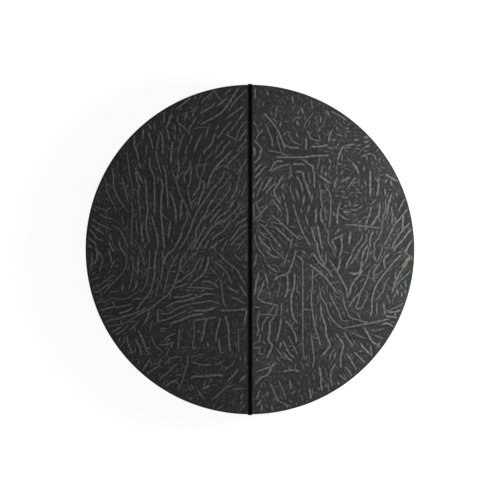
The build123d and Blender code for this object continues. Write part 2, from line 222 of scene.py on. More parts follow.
@dataclass(frozen=True)
class EffectBuilder:
    """Builds a shared effect's node group the first time that it is asked for."""

    effect: Effect

    def group(self) -> bpy.types.NodeTree:
        """The effect's node group, built if it isn't there yet."""
        found = bpy.data.node_groups.get(self.effect.value)
        if found:
            return found
        makers: dict[Effect, Callable[[], bpy.types.NodeTree]] = {
            Effect.LEATHER: self._leather,
            Effect.WEAVE: self._weave,
            Effect.WEAR: self._wear,
            Effect.DUST: self._dust,
            Effect.MOTTLE: self._mottle,
        }
        return makers[self.effect]()

    def _open(
        self, inputs: Sequence[tuple[str, float]], outputs: Sequence[str]
    ) -> tuple[NodeBoard, bpy.types.NodeOutputs, bpy.types.NodeInputs]:
        """Makes an empty group with float inputs and outputs.

        Args:
            inputs: Each input's name and default.
            outputs: Each output's name.

        Returns:
            The board, the inside of the inputs, and the inside of the outputs.
        """
        tree = bpy.data.node_groups.new(self.effect.value, "ShaderNodeTree")
        for name, default in inputs:
            socket = tree.interface.new_socket(name=name, in_out="INPUT", socket_type="NodeSocketFloat")
            socket.default_value = default
        for name in outputs:
            tree.interface.new_socket(name=name, in_out="OUTPUT", socket_type="NodeSocketFloat")
        board = NodeBoard(tree)
        return board, board.add("NodeGroupInput").outputs, board.add("NodeGroupOutput").inputs

    def _leather(self) -> bpy.types.NodeTree:
        """Pebbled cells with fine pores: Height for bump, Mask bright on top of the pebbles and dark between
        them, which the vinyls use as painted grain shadow.
        """
        board, given, out = self._open([("Scale", 300.0), ("Pores", 0.3)], ["Height", "Mask"])
        spot = board.place()
        warp = board.add("ShaderNodeTexNoise", {"Vector": spot, "Scale": 60.0, "Detail": 2.0})
        bend = board.toned(warp.outputs["Color"], 0.004)
        bent = board.add("ShaderNodeVectorMath", {0: spot, 1: bend}, operation="ADD").outputs[0]
        cells = board.add(
            "ShaderNodeTexVoronoi", {"Vector": bent, "Scale": given["Scale"]}, feature="DISTANCE_TO_EDGE"
        )
        pebble = board.remap(cells.outputs["Distance"], 0.0, 0.32)
        pores = board.speckle(board.calc("MULTIPLY", given["Scale"], 4.0), 2.0, spot)
        pitted = board.calc("MULTIPLY", board.remap(pores, 0.35, 0.65), given["Pores"])
        board.feed(out["Height"], board.calc("ADD", pebble, pitted))
        board.feed(out["Mask"], pebble)
        return board.tree

    def _weave(self) -> bpy.types.NodeTree:
        """Basket weave by a strap's own measure: Height for bump, Mask bright on the threads."""
        board, given, out = self._open([("Pitch", 0.0016)], ["Height", "Mask"])
        measure = board.add("ShaderNodeAttribute", attribute_name="strap_measure").outputs["Vector"]
        split = board.add("ShaderNodeSeparateXYZ", {0: measure}).outputs
        turn = board.calc("DIVIDE", 2 * math.pi, given["Pitch"])
        across = board.calc("SINE", board.calc("MULTIPLY", split["X"], turn))
        along = board.calc("SINE", board.calc("MULTIPLY", split["Y"], board.calc("MULTIPLY", turn, 0.7)))
        woven = board.remap(board.calc("MULTIPLY", across, along), -1.0, 1.0)
        fibre = board.speckle(2600.0, 1.0)
        board.feed(out["Height"], board.calc("MULTIPLY_ADD", fibre, 0.35, woven))
        board.feed(out["Mask"], woven)
        return board.tree

    def _wear(self) -> bpy.types.NodeTree:
        """Rubbed edges: Mask is bright where the surface is sharp and convex, broken up by noise."""
        board, given, out = self._open([("Amount", 0.5), ("Grit", 90.0)], ["Mask"])
        sharp = board.add("ShaderNodeNewGeometry").outputs["Pointiness"]
        edge = board.remap(sharp, 0.505, 0.56)
        grit = board.speckle(given["Grit"], 4.0)
        broken = board.calc("MULTIPLY", edge, board.remap(grit, 0.35, 0.7))
        board.feed(out["Mask"], board.calc("MULTIPLY", broken, given["Amount"]))
        return board.tree

    def _dust(self) -> bpy.types.NodeTree:
        """Dust that settles on what faces up, in soft clouds."""
        board, given, out = self._open([("Amount", 0.2), ("Clouds", 5.0)], ["Mask"])
        normal = board.add("ShaderNodeNewGeometry").outputs["Normal"]
        up = board.remap(board.add("ShaderNodeSeparateXYZ", {0: normal}).outputs["Z"], 0.5, 1.0)
        clouds = board.speckle(given["Clouds"], 5.0)
        spread = board.calc("MULTIPLY", up, board.remap(clouds, 0.4, 0.75))
        board.feed(out["Mask"], board.calc("MULTIPLY", spread, given["Amount"]))
        return board.tree

    def _mottle(self) -> bpy.types.NodeTree:
        """Uneven dye: a value about 1 that brightens and darkens the colour in broad patches."""
        board, given, out = self._open([("Amount", 0.1), ("Patches", 6.0)], ["Value"])
        swing = board.calc("SUBTRACT", board.speckle(given["Patches"], 4.0), 0.5)
        board.feed(out["Value"], board.calc("MULTIPLY_ADD", swing, given["Amount"], 1.0))
        return board.tree


# ------------------------------------------------------------------ finishes
DUST_COLOUR = linear(150, 150, 146)


@dataclass(frozen=True)
class Finish:
    """What every finish has: its own name and the record's material slot it stands for."""

    name: str
    slot: str

    def material(self) -> bpy.types.Material:
        """The finish as a material, built the first time that it is asked for."""
        title = f"{self.name}_finish"
        found = bpy.data.materials.get(title)
        if found:
            return found
        made = bpy.data.materials.new(title)
        made.use_nodes = True
        made.node_tree.nodes.clear()
        board = NodeBoard(made.node_tree)
        shader = board.add("ShaderNodeBsdfPrincipled")
        out = board.add("ShaderNodeOutputMaterial")
        board.feed(out.inputs["Surface"], shader.outputs[0])
        self.paint(board, shader.inputs)
        return made

    def effect(self, board: NodeBoard, effect: Effect, **values: float) -> bpy.types.NodeOutputs:
        """Places a shared effect in the material.

        Args:
            board: The material's node board.
            effect: Which effect.
            values: The effect's input values, by name.

        Returns:
            The placed group's outputs.
        """
        node = board.add("ShaderNodeGroup")
        node.node_tree = EffectBuilder(effect).group()
        for name, value in values.items():
            board.feed(node.inputs[name], value)
        return node.outputs

    def bump(self, board: NodeBoard, height: object, depth: float) -> bpy.types.NodeSocket:
        """Turns a height from 0 to 1 into a normal, with the full height standing depth metres."""
        node = board.add("ShaderNodeBump", {"Height": height, "Distance": depth, "Strength": 1.0})
        return node.outputs["Normal"]

    def paint(self, board: NodeBoard, shader: bpy.types.NodeInputs) -> None:
        """Wires the finish into the shader; each kind of finish has its own."""
        raise NotImplementedError


@dataclass(frozen=True)
class GrainedVinyl(Finish):
    """Embossed vinyl: a dark ground with paler raised creases, rubbed smoother on top, and painted shade in
    the valleys beside them.
    """

    ground: Colour
    # hollow is painted shade: the colour in the valleys beside the creases.
    hollow: Colour
    crease: Colour
    grain: float = 210.0
    grain_depth: float = 0.00035

    def paint(self, board: NodeBoard, shader: bpy.types.NodeInputs) -> None:
        """Colour by the crease measure that the mesh carries, with painted shade in the valleys beside the
        creases, and grain shadow and dust over it.
        """
        relief = board.add("ShaderNodeAttribute", attribute_name="crease").outputs["Fac"]
        raised = board.remap(relief, 0.0, 1.0)
        valley = board.remap(relief, 0.0, -1.0)
        grain = self.effect(board, Effect.LEATHER, Scale=self.grain, Pores=0.35)
        mottle = self.effect(board, Effect.MOTTLE, Amount=0.5, Patches=5.0)["Value"]
        dust = self.effect(board, Effect.DUST, Amount=0.02, Clouds=4.0)["Mask"]
        broken = board.calc("MULTIPLY", raised, board.remap(board.speckle(90.0), 0.28, 0.6, 0.6, 1.0))
        flecks = board.calc("MULTIPLY", board.remap(board.speckle(60.0, 5.0), 0.5, 0.72), 0.2)
        pale = board.calc("MAXIMUM", broken, flecks)
        # Painted shade: the ground darkens towards the hollow colour in the valleys beside the creases.
        deep = board.tint(valley, self.ground, self.hollow)
        colour = board.tint(pale, deep, self.crease)
        # Uneven dye times painted grain shadow, darker between the pebbles.
        dye_and_grain_shade = board.calc("MULTIPLY", mottle, board.remap(grain["Mask"], 0.0, 1.0, 0.86, 1.08))
        board.feed(shader["Base Color"], board.tint(dust, board.toned(colour, dye_and_grain_shade), DUST_COLOUR))
        board.feed(shader["Roughness"], board.remap(raised, 0.0, 1.0, 0.62, 0.46))
        board.feed(shader["Specular IOR Level"], 0.09)
        board.feed(shader["Normal"], self.bump(board, grain["Height"], self.grain_depth))


@dataclass(frozen=True)
class PlainVinyl(Finish):
    """Vinyl with a fine even grain and slightly rubbed edges."""

    colour: Colour
    worn: Colour
    grain: float = 420.0
    grain_depth: float = 0.00018
    roughness: float = 0.5
    wear: float = 0.4
    dust: float = 0.03
    gloss: float = 0.25

    def paint(self, board: NodeBoard, shader: bpy.types.NodeInputs) -> None:
        """Even colour, broken by dye patches, grain shadow, wear and dust."""
        grain = self.effect(board, Effect.LEATHER, Scale=self.grain, Pores=0.25)
        mottle = self.effect(board, Effect.MOTTLE, Amount=0.35, Patches=7.0)["Value"]
        wear = self.effect(board, Effect.WEAR, Amount=self.wear, Grit=110.0)["Mask"]
        dust = self.effect(board, Effect.DUST, Amount=self.dust, Clouds=9.0)["Mask"]
        # Uneven dye times painted grain shadow, darker between the pebbles.
        dye_and_grain_shade = board.calc("MULTIPLY", mottle, board.remap(grain["Mask"], 0.0, 1.0, 0.85, 1.06))
        rubbed = board.tint(wear, board.toned(self.colour, dye_and_grain_shade), self.worn)
        board.feed(shader["Base Color"], board.tint(dust, rubbed, DUST_COLOUR))
        rough = board.remap(board.speckle(40.0), 0.3, 0.7, self.roughness - 0.07, self.roughness + 0.07)
        board.feed(shader["Roughness"], rough)
        board.feed(shader["Specular IOR Level"], self.gloss)
        board.feed(shader["Normal"], self.bump(board, grain["Height"], self.grain_depth))


@dataclass(frozen=True)
class WovenStrap(Finish):
    """Webbing, tape or binding woven of dull threads."""

    colour: Colour
    light: Colour
    pitch: float = 0.0016
    depth: float = 0.00025

    def paint(self, board: NodeBoard, shader: bpy.types.NodeInputs) -> None:
        """Threads lighter on top than between, with a soft sheen."""
        weave = self.effect(board, Effect.WEAVE, Pitch=self.pitch)
        mottle = self.effect(board, Effect.MOTTLE, Amount=0.4, Patches=25.0)["Value"]
        colour = board.tint(weave["Mask"], self.colour, self.light)
        board.feed(shader["Base Color"], board.toned(colour, mottle))
        board.feed(shader["Roughness"], board.remap(weave["Mask"], 0.0, 1.0, 0.92, 0.7))
        board.feed(shader["Sheen Weight"], 0.15)
        board.feed(shader["Specular IOR Level"], 0.3)
        board.feed(shader["Normal"], self.bump(board, weave["Height"], self.depth))


@dataclass(frozen=True)
class MouldedPlastic(Finish):
    """Moulded plastic with a spark-eroded texture and scuffed edges."""

    colour: Colour
    scuffed: Colour
    roughness: float = 0.42

    def paint(self, board: NodeBoard, shader: bpy.types.NodeInputs) -> None:
        """Fine pits, paler scuffs on the edges."""
        wear = self.effect(board, Effect.WEAR, Amount=0.7, Grit=260.0)["Mask"]
        mottle = self.effect(board, Effect.MOTTLE, Amount=0.2, Patches=40.0)["Value"]
        pits = board.speckle(2200.0, 2.0)
        board.feed(shader["Base Color"], board.tint(wear, board.toned(self.colour, mottle), self.scuffed))
        gloss = board.remap(board.speckle(300.0), 0.3, 0.7, self.roughness - 0.06, self.roughness + 0.1)
        board.feed(shader["Roughness"], gloss)
        board.feed(shader["Normal"], self.bump(board, pits, 0.00008))


@dataclass(frozen=True)
class SatinMetal(Finish):
    """Plated or brushed metal with fine scratches."""

    colour: Colour
    tarnish: Colour
    roughness: float = 0.3

    def paint(self, board: NodeBoard, shader: bpy.types.NodeInputs) -> None:
        """Scratches stretched along one way, and darker tarnish in patches."""
        drawn_out = {0: board.place(), 1: (1.0, 0.06, 1.0)}
        spot = board.add("ShaderNodeVectorMath", drawn_out, operation="MULTIPLY").outputs[0]
        scratches = board.speckle(1800.0, 2.0, spot)
        wear = self.effect(board, Effect.WEAR, Amount=0.5, Grit=300.0)["Mask"]
        patches = board.remap(board.speckle(60.0), 0.45, 0.7)
        dulled = board.tint(patches, self.colour, self.tarnish)
        board.feed(shader["Base Color"], board.tint(wear, dulled, self.colour))
        shader["Metallic"].default_value = 1.0
        rough = board.remap(scratches, 0.3, 0.7, self.roughness - 0.08, self.roughness + 0.12)
        board.feed(shader["Roughness"], rough)
        board.feed(shader["Normal"], self.bump(board, scratches, 0.00004))


@dataclass(frozen=True)
class BeadFoam(Finish):
    """Expanded polystyrene: pressed beads with fine joints."""

    colour: Colour

    def paint(self, board: NodeBoard, shader: bpy.types.NodeInputs) -> None:
        """Beads about 4 mm across, darker in their joints."""
        cells = board.add("ShaderNodeTexVoronoi", {"Vector": board.place(), "Scale": 240.0})
        beads = cells.outputs["Distance"]
        joint = board.remap(beads, 0.3, 0.75)
        board.feed(shader["Base Color"], board.tint(joint, self.colour, linear(196, 198, 196)))
        board.feed(shader["Roughness"], board.remap(board.speckle(80.0), 0.3, 0.7, 0.7, 0.9))
        board.feed(shader["Normal"], self.bump(board, board.calc("SUBTRACT", 1.0, beads), 0.0005))


@dataclass(frozen=True)
class WeldedFilm(Finish):
    """Thin milky film with soft wrinkles."""

    colour: Colour

    def paint(self, board: NodeBoard, shader: bpy.types.NodeInputs) -> None:
        """Glossy and slightly see-through, creased at hand scale."""
        wrinkles = board.speckle(18.0, 6.0)
        board.feed(shader["Base Color"], board.tint(wrinkles, self.colour, linear(236, 238, 240)))
        board.feed(shader["Roughness"], board.remap(wrinkles, 0.3, 0.7, 0.12, 0.3))
        board.feed(shader["Normal"], self.bump(board, wrinkles, 0.002))


@dataclass(frozen=True)
class SewingThread(Finish):
    """Twisted sewing thread."""

    colour: Colour
    light: Colour

    def paint(self, board: NodeBoard, shader: bpy.types.NodeInputs) -> None:
        """Fine fibre streaks."""
        fibre = board.speckle(1500.0, 2.0)
        board.feed(shader["Base Color"], board.tint(board.remap(fibre, 0.3, 0.7), self.colour, self.light))
        board.feed(shader["Roughness"], board.remap(fibre, 0.3, 0.7, 0.6, 0.8))
        board.feed(shader["Normal"], self.bump(board, fibre, 0.0001))


# The two halves are lit and shaded copies of one grained vinyl: the left half's colours are written darker as
# painted shade, the right half's lighter as painted light.
TOP_LEFT = GrainedVinyl(
    "grained_vinyl_shaded", "grained_vinyl", linear(45, 48, 46), linear(20, 22, 21), linear(119, 123, 117)
)
TOP_RIGHT = GrainedVinyl(
    "grained_vinyl_painted_lit", "grained_vinyl", linear(50, 53, 51), linear(23, 25, 24), linear(132, 136, 129)
)
SIDE_VINYL = PlainVinyl("side_vinyl", "smooth_vinyl", linear(50, 52, 50), linear(104, 106, 102))
# Hinge vinyl is written near-black, darker than vinyl is: partly its own black and partly painted shade for
# the gutter between the halves.
HINGE_VINYL = PlainVinyl(
    "hinge_vinyl", "hinge_vinyl", linear(6, 7, 7), linear(18, 19, 19), 600.0, 0.0001, 0.62, 0.2, 0.0, 0.04
)
UNDERSIDE_VINYL = PlainVinyl(
    "underside_vinyl", "underside_vinyl", linear(48, 49, 51), linear(90, 92, 94), 700.0, 0.0001, 0.42, 0.2
)
GRIP_VINYL = PlainVinyl(
    "grip_vinyl", "grip_vinyl", linear(34, 35, 35), linear(84, 84, 82), 520.0, 0.0002, 0.45, 0.6
)
WEBBING = WovenStrap("strap_webbing", "webbing", linear(18, 18, 19), linear(52, 52, 54))
BINDING = WovenStrap("hem_binding", "binding", linear(24, 24, 25), linear(60, 60, 62), 0.0011, 0.00018)
ZIP_TAPE = WovenStrap("zip_tape", "zip_tape", linear(16, 16, 16), linear(44, 44, 46), 0.0009, 0.00012)
ZIP_TEETH = MouldedPlastic("zip_teeth", "zip_coil", linear(22, 22, 23), linear(70, 70, 72), 0.35)
PLASTIC = MouldedPlastic("black_plastic", "black_plastic", linear(30, 30, 31), linear(88, 88, 90))
NICKEL = SatinMetal("nickel_plate", "barrel_metal", linear(214, 212, 206), linear(150, 146, 138), 0.24)
STAINLESS = SatinMetal(
    "stainless_eyelet", "eyelet_metal", linear(196, 197, 198), linear(138, 138, 138), 0.32
)
BLACKENED = SatinMetal("blackened_zip", "zip_metal", linear(96, 96, 99), linear(48, 47, 46), 0.36)
ZINC = SatinMetal(
    "galvanised_steel", "galvanised_steel", linear(176, 180, 184), linear(120, 124, 128), 0.45
)
FOAM = BeadFoam("bead_foam", "foam", linear(236, 238, 236))
FILM = WeldedFilm("vapour_film", "vapour_film", linear(206, 212, 216))
THREAD = SewingThread("sewing_thread", "binding", linear(36, 36, 37), linear(86, 87, 86))


# ------------------------------------------------------------------ mesh helpers
@dataclass
class MeshPieces:
    """Vertices and faces gathered from several shapes, made into one object at the end."""

    points: list[np.ndarray] = field(default_factory=list)
    faces: list[tuple[int, ...]] = field(default_factory=list)
    measures: list[np.ndarray] = field(default_factory=list)
    count: int = 0

    def add(
        self, points: np.ndarray, faces: Iterable[Sequence[int]], measure: np.ndarray | None = None
    ) -> None:
        """Adds one shape.

        Args:
            points: Its vertices, one row each.
            faces: Its faces, as indices into those rows.
            measure: For a strap, across, along and nothing, one row for each vertex.
        """
        start = self.count
        self.faces += [tuple(int(i) + start for i in face) for face in faces]
        self.points.append(np.asarray(points, float))
        self.measures.append(np.zeros((len(points), 3)) if measure is None else measure)
        self.count += len(points)

    def grid(self, rows: np.ndarray, closed_across: bool = False, measure: np.ndarray | None = None) -> None:
        """Adds a grid of points as quads.

        Args:
            rows: Points as rows, columns, 3.
            closed_across: Joins the last column to the first.
            measure: For a strap, as rows, columns, 3.
        """
        high, wide = rows.shape[:2]
        faces = []
        for r in range(high - 1):
            for c in range(wide if closed_across else wide - 1):
                a, b = r * wide + c, r * wide + (c + 1) % wide
                faces.append((a, b, b + wide, a + wide))
        flat = None if measure is None else measure.reshape(-1, 3)
        self.add(rows.reshape(-1, 3), faces, flat)

    def make(self, name: str, finish: Finish) -> bpy.types.Object:
        """Makes the object in one finish.

        Args:
            name: The piece's name.
            finish: What it is made of.

        Returns:
            The new object, linked into the scene.
        """
        mesh = bpy.data.meshes.new(name)
        mesh.from_pydata(np.concatenate(self.points).tolist(), [], self.faces)
        mesh.validate()
        shape = bmesh.new()
        shape.from_mesh(mesh)
        bmesh.ops.recalc_face_normals(shape, faces=shape.faces)
        shape.to_mesh(mesh)
        shape.free()
        measure = mesh.attributes.new("strap_measure", "FLOAT_VECTOR", "POINT")
        measure.data.foreach_set("vector", np.concatenate(self.measures).astype(np.float32).ravel())
        mesh.polygons.foreach_set("use_smooth", [True] * len(mesh.polygons))
        mesh.materials.append(finish.material())
        made = bpy.data.objects.new(name, mesh)
        bpy.context.scene.collection.objects.link(made)
        return made

    def slab(self, face: np.ndarray, back: np.ndarray) -> None:
        """Adds a sheet with thickness: two grids and the strips that join their borders.

        Args:
            face: Points of the outer face as rows, columns, 3.
            back: Points of the inner face, in the same shape.
        """
        high, wide = face.shape[:2]
        size = high * wide
        faces = []
        for r in range(high - 1):
            for c in range(wide - 1):
                a = r * wide + c
                quad = (a, a + 1, a + 1 + wide, a + wide)
                faces += [quad, tuple(size + i for i in reversed(quad))]
        for r in (0, high - 1):
            for c in range(wide - 1):
                a, b = r * wide + c, r * wide + c + 1
                faces.append((b, a, size + a, size + b) if r == 0 else (a, b, size + b, size + a))
        for c in (0, wide - 1):
            for r in range(high - 1):
                a, b = r * wide + c, (r + 1) * wide + c
                faces.append((a, b, size + b, size + a) if c == 0 else (b, a, size + a, size + b))
        self.add(np.concatenate([face.reshape(-1, 3), back.reshape(-1, 3)]), faces)

    def beads(self, middles: np.ndarray, long: np.ndarray, wide: np.ndarray, high: np.ndarray) -> None:
        """Adds many small rounded beads, such as stitches or teeth.

        Args:
            middles: Where each bead is, one row each.
            long: Each bead's whole length, as a vector.
            wide: Half of its width, as a vector.
            high: Half of its height, as a vector.
        """
        turns = np.arange(6) * math.pi / 3
        template = [(x, r * math.cos(t), r * math.sin(t)) for x, r in BEAD_RINGS for t in turns]
        quads = [
            (ring * 6 + i, ring * 6 + (i + 1) % 6, ring * 6 + 6 + (i + 1) % 6, ring * 6 + 6 + i)
            for ring in range(len(BEAD_RINGS) - 1)
            for i in range(6)
        ]
        caps = [tuple(range(5, -1, -1)), tuple(range(len(template) - 6, len(template)))]
        shape = np.array(template)
        spread = (
            middles[:, None, :]
            + shape[None, :, :1] * long[:, None, :]
            + shape[None, :, 1:2] * wide[:, None, :]
            + shape[None, :, 2:] * high[:, None, :]
        )
        starts = range(0, len(middles) * len(shape), len(shape))
        faces = [tuple(start + i for i in face) for start in starts for face in quads + caps]
        self.add(spread.reshape(-1, 3), faces)

    def stitches(
        self, path: np.ndarray, facing: np.ndarray, pitch: float = 0.0065, stitch: float = 0.005
    ) -> None:
        """Adds a row of stitches that lies half sunk along a path.

        Args:
            path: Points of the seam, one row each.
            facing: The direction that the sewn surface faces at each point.
            pitch: From one stitch to the next.
            stitch: Length of a stitch.
        """
        run = run_of(path)
        count = max(1, int(run[-1] / pitch))
        at = (np.arange(count) + 0.5) * run[-1] / count
        middles = rows_at(path, run, at)
        ahead = rows_at(path, run, np.minimum(at + 0.001, run[-1]))
        behind = rows_at(path, run, np.maximum(at - 0.001, 0))
        along = unit(ahead - behind)
        out = unit(rows_at(facing, run, at))
        across = unit(np.cross(out, along))
        self.beads(middles + out * 0.0001, along * stitch, across * 0.00042, out * 0.00038)

    def ribbon(self, path: np.ndarray, side: np.ndarray, width: np.ndarray, thickness: float) -> None:
        """Adds a strap of webbing along a path.

        Args:
            path: The middle of the webbing, one row for each point.
            side: Direction of its width at each point.
            width: Its width at each point.
            thickness: Its thickness.
        """
        ahead = unit(np.gradient(path, axis=0))
        side = unit(side)
        out = unit(np.cross(side, ahead))
        run = run_of(path)
        half = thickness / 2
        section = [*RIBBON_TOP, *((x, -y) for x, y in reversed(RIBBON_TOP[1:-1]))]
        loop = [path + side * (x * width)[:, None] + out * y * half for x, y in section]
        marks = [np.stack([x * width, run, np.zeros_like(run)], 1) for x, y in section]
        rows, measure = np.stack(loop, 1), np.stack(marks, 1)
        base, wide, last = self.count, len(section), (len(path) - 1) * len(section)
        self.grid(rows, closed_across=True, measure=measure)
        self.faces.append(tuple(base + i for i in range(wide)))
        self.faces.append(tuple(base + last + i for i in reversed(range(wide))))


BEAD_RINGS = ((-0.5, 0.3), (-0.36, 0.95), (0.36, 0.95), (0.5, 0.3))
RIBBON_TOP = (
    (-0.5, 0), (-0.49, 0.7), (-0.46, 1), (-0.2, 1), (0, 1), (0.2, 1), (0.46, 1), (0.49, 0.7), (0.5, 0),
)


def unit(rows: np.ndarray) -> np.ndarray:
    """Scales each row to a length of one."""
    return rows / np.maximum(np.linalg.norm(rows, axis=-1, keepdims=True), 1e-12)


def run_of(path: np.ndarray) -> np.ndarray:
    """Distance from a path's start to each of its points, along the path."""
    steps = np.linalg.norm(np.diff(path, axis=0), axis=1)
    return np.concatenate([[0.0], np.cumsum(steps)])


def rows_at(rows: np.ndarray, run: np.ndarray, at: np.ndarray) -> np.ndarray:
    """Rows that belong to the distances in run, read off at other distances."""
    return np.stack([np.interp(at, run, column) for column in rows.T], 1)


def level(spots: np.ndarray, z: np.ndarray | float) -> np.ndarray:
    """Plan points raised to one height, or to a height each."""
    return np.column_stack([spots, np.broadcast_to(z, len(spots))])


def soft_noise(x: float, y: float, z: float = 0.0) -> float:
    """Smooth noise from about -1 to 1 at a point."""
    return noise.noise(Vector((x, y, z)))


def weld(made: bpy.types.Object, reach: float) -> None:
    """Joins vertices that share a place and turns all the faces outward.

    Args:
        made: The object to weld.
        reach: How near two vertices are to be joined.
    """
    shape = bmesh.new()
    shape.from_mesh(made.data)
    bmesh.ops.remove_doubles(shape, verts=shape.verts, dist=reach)
    bmesh.ops.recalc_face_normals(shape, faces=shape.faces)
    shape.to_mesh(made.data)
    shape.free()


def filled(loops: Sequence[np.ndarray], inner: np.ndarray) -> tuple[np.ndarray, list[tuple[int, ...]]]:
    """Triangulates a convex area with convex holes.

    Args:
        loops: The outline first, then each hole, as rows of plan points.
        inner: Points inside the area that the triangles pass through.

    Returns:
        All the plan points, and the triangles as indices into them.
    """
    spots = np.concatenate([*loops, inner])
    edges: list[tuple[int, int]] = []
    owner = np.full(len(spots), -1)
    start = 0
    for number, loop in enumerate(loops):
        edges += [(start + i, start + (i + 1) % len(loop)) for i in range(len(loop))]
        owner[start : start + len(loop)] = number
        start += len(loop)
    made = geometry.delaunay_2d_cdt([Vector(p) for p in spots.tolist()], edges, [], 0, 1e-7)
    source = [given[0] for given in made[3]]
    faces = []
    for face in made[2]:
        corners = tuple(source[i] for i in face)
        first = owner[corners[0]]
        if first > 0 and all(owner[i] == first for i in corners):
            continue
        faces.append(corners)
    return spots, faces


# ------------------------------------------------------------------ sizes and outline
@dataclass(frozen=True)
class CoverSizes:
    """Sizes that several pieces share."""

    rim: float
    gap: float
    ridge: float
    seat: float
    skirt: float
    rim_drop: float = 0.040
    edge: float = 0.006
    lip: float = 0.022
    wall: float = 0.0016
    seam_x: float = 0.030
    skirt_panels: int = 6
    skirt_start: float = 0.018
    slit: float = 0.002
    zip_line: float = 0.060
    zip_length: float = 1.708

    @classmethod
    def measured(cls) -> "CoverSizes":
        """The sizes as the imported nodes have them."""
        low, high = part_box("top_panel_right")
        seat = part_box("bottom_panel_right")[0].z
        return cls(rim=high.x, gap=low.x, ridge=high.z, seat=seat, skirt=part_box("skirt_right")[1].x)

    def top(self, x: np.ndarray | float) -> np.ndarray | float:
        """Height of the top face at a distance x from the hinge line."""
        return self.ridge - (np.abs(x) - self.gap) * self.rim_drop / (self.rim - self.gap)


@dataclass(frozen=True)
class HalfOutline:
    """Plan outline of one half: the long arc, two small corners and the straight side at the hinge."""

    half: Half
    radius: float
    face: float
    corner: float = 0.008

    def points(self, step: float) -> tuple[np.ndarray, np.ndarray]:
        """Points round the outline.

        Args:
            step: Distance between points on the arc and on the straight side.

        Returns:
            The plan points, anticlockwise, and the outward direction at each.
        """
        across = self.face + self.corner
        along = math.sqrt((self.radius - self.corner) ** 2 - across**2)
        sweep = math.atan2(along, across)
        arc = np.linspace(-sweep, sweep, max(8, round(2 * sweep * self.radius / step)))
        bend = np.linspace(sweep, math.pi, 7)[1:]
        rise = np.linspace(along, -along, max(4, round(2 * along / step)))[1:-1]
        turns = [arc, bend, np.full(len(rise), math.pi), -bend[::-1]]
        ways = [np.stack([np.cos(t), np.sin(t)], 1) for t in turns]
        spots = [
            ways[0] * self.radius,
            ways[1] * self.corner + (across, along),
            np.stack([np.full(len(rise), self.face), rise], 1),
            ways[3] * self.corner + (across, -along),
        ]
        points, directions = np.concatenate(spots), np.concatenate(ways)
        if self.half is Half.LEFT:
            points, directions = points[::-1] * (-1, 1), directions[::-1] * (-1, 1)
        return points, directions


# ------------------------------------------------------------------ crease pattern
@dataclass(frozen=True)
class CreaseMark:
    """How the embossed creases run near one place on the top.

    u and v are shares of the rim's radius, lean is degrees anticlockwise from +X, gap is the distance
    from crease to crease and run is their usual length, both in millimetres.
    """

    u: float
    v: float
    lean: float
    gap: float = 38.0
    run: float = 150.0


LEFT_MARKS = tuple(
    CreaseMark(*row)
    for row in (
        (-0.69, 0.417, 100, 44, 250), (-0.83, 0.466, 98, 42, 220), (-0.536, 0.312, 97, 40, 200),
        (-0.633, -0.022, 95, 38, 180), (-0.605, -0.162, 88, 38, 160), (-0.926, 0.117, 145, 36, 120),
        (-0.81, 0.0, 110, 38, 150), (-0.87, -0.18, 35, 36, 120), (-0.431, 0.64, 85, 30, 60),
        (-0.166, 0.828, 52, 36, 150), (-0.305, 0.208, 57, 36, 280), (-0.187, 0.466, 60, 36, 160),
        (-0.424, -0.022, 62, 38, 200), (-0.089, 0.061, 50, 34, 90), (-0.131, -0.134, 130, 36, 100),
        (-0.787, -0.371, 18, 30, 220), (-0.508, -0.301, 8, 34, 180), (-0.257, -0.315, 3, 34, 140),
        (-0.668, -0.545, 75, 36, 80), (-0.257, -0.51, 86, 55, 120), (-0.089, -0.51, 84, 46, 110),
        (-0.291, -0.727, 5, 45, 70), (-0.131, -0.88, 48, 50, 120), (-0.494, -0.76, 30, 40, 120),
    )
)
RIGHT_MARKS = tuple(
    CreaseMark(*row)
    for row in (
        (0.162, 0.884, 88, 60, 35), (0.148, 0.717, 122, 55, 150), (0.371, 0.814, 95, 52, 40),
        (0.294, 0.57, 2, 32, 160), (0.694, 0.466, 90, 26, 32), (0.494, 0.466, 90, 26, 32),
        (0.594, 0.566, 0, 26, 30), (0.594, 0.366, 0, 26, 32), (0.768, 0.368, 90, 26, 30),
        (0.364, 0.326, 95, 34, 120), (0.266, 0.215, 115, 36, 140), (0.05, 0.41, 50, 28, 90),
        (0.322, -0.008, 130, 38, 260), (0.134, 0.145, 130, 36, 160), (0.385, -0.301, 94, 48, 300),
        (0.524, -0.371, 118, 42, 200), (0.831, 0.047, 58, 36, 260), (0.692, -0.232, 60, 38, 180),
        (0.72, -0.448, 3, 38, 100), (0.636, -0.58, 135, 40, 160), (0.197, -0.552, 75, 40, 140),
        (0.218, -0.643, 130, 40, 120), (0.092, -0.741, 40, 40, 100), (0.28, -0.831, 112, 60, 60),
        (0.476, -0.72, 97, 42, 160), (0.106, -0.301, 70, 45, 130),
    )
)

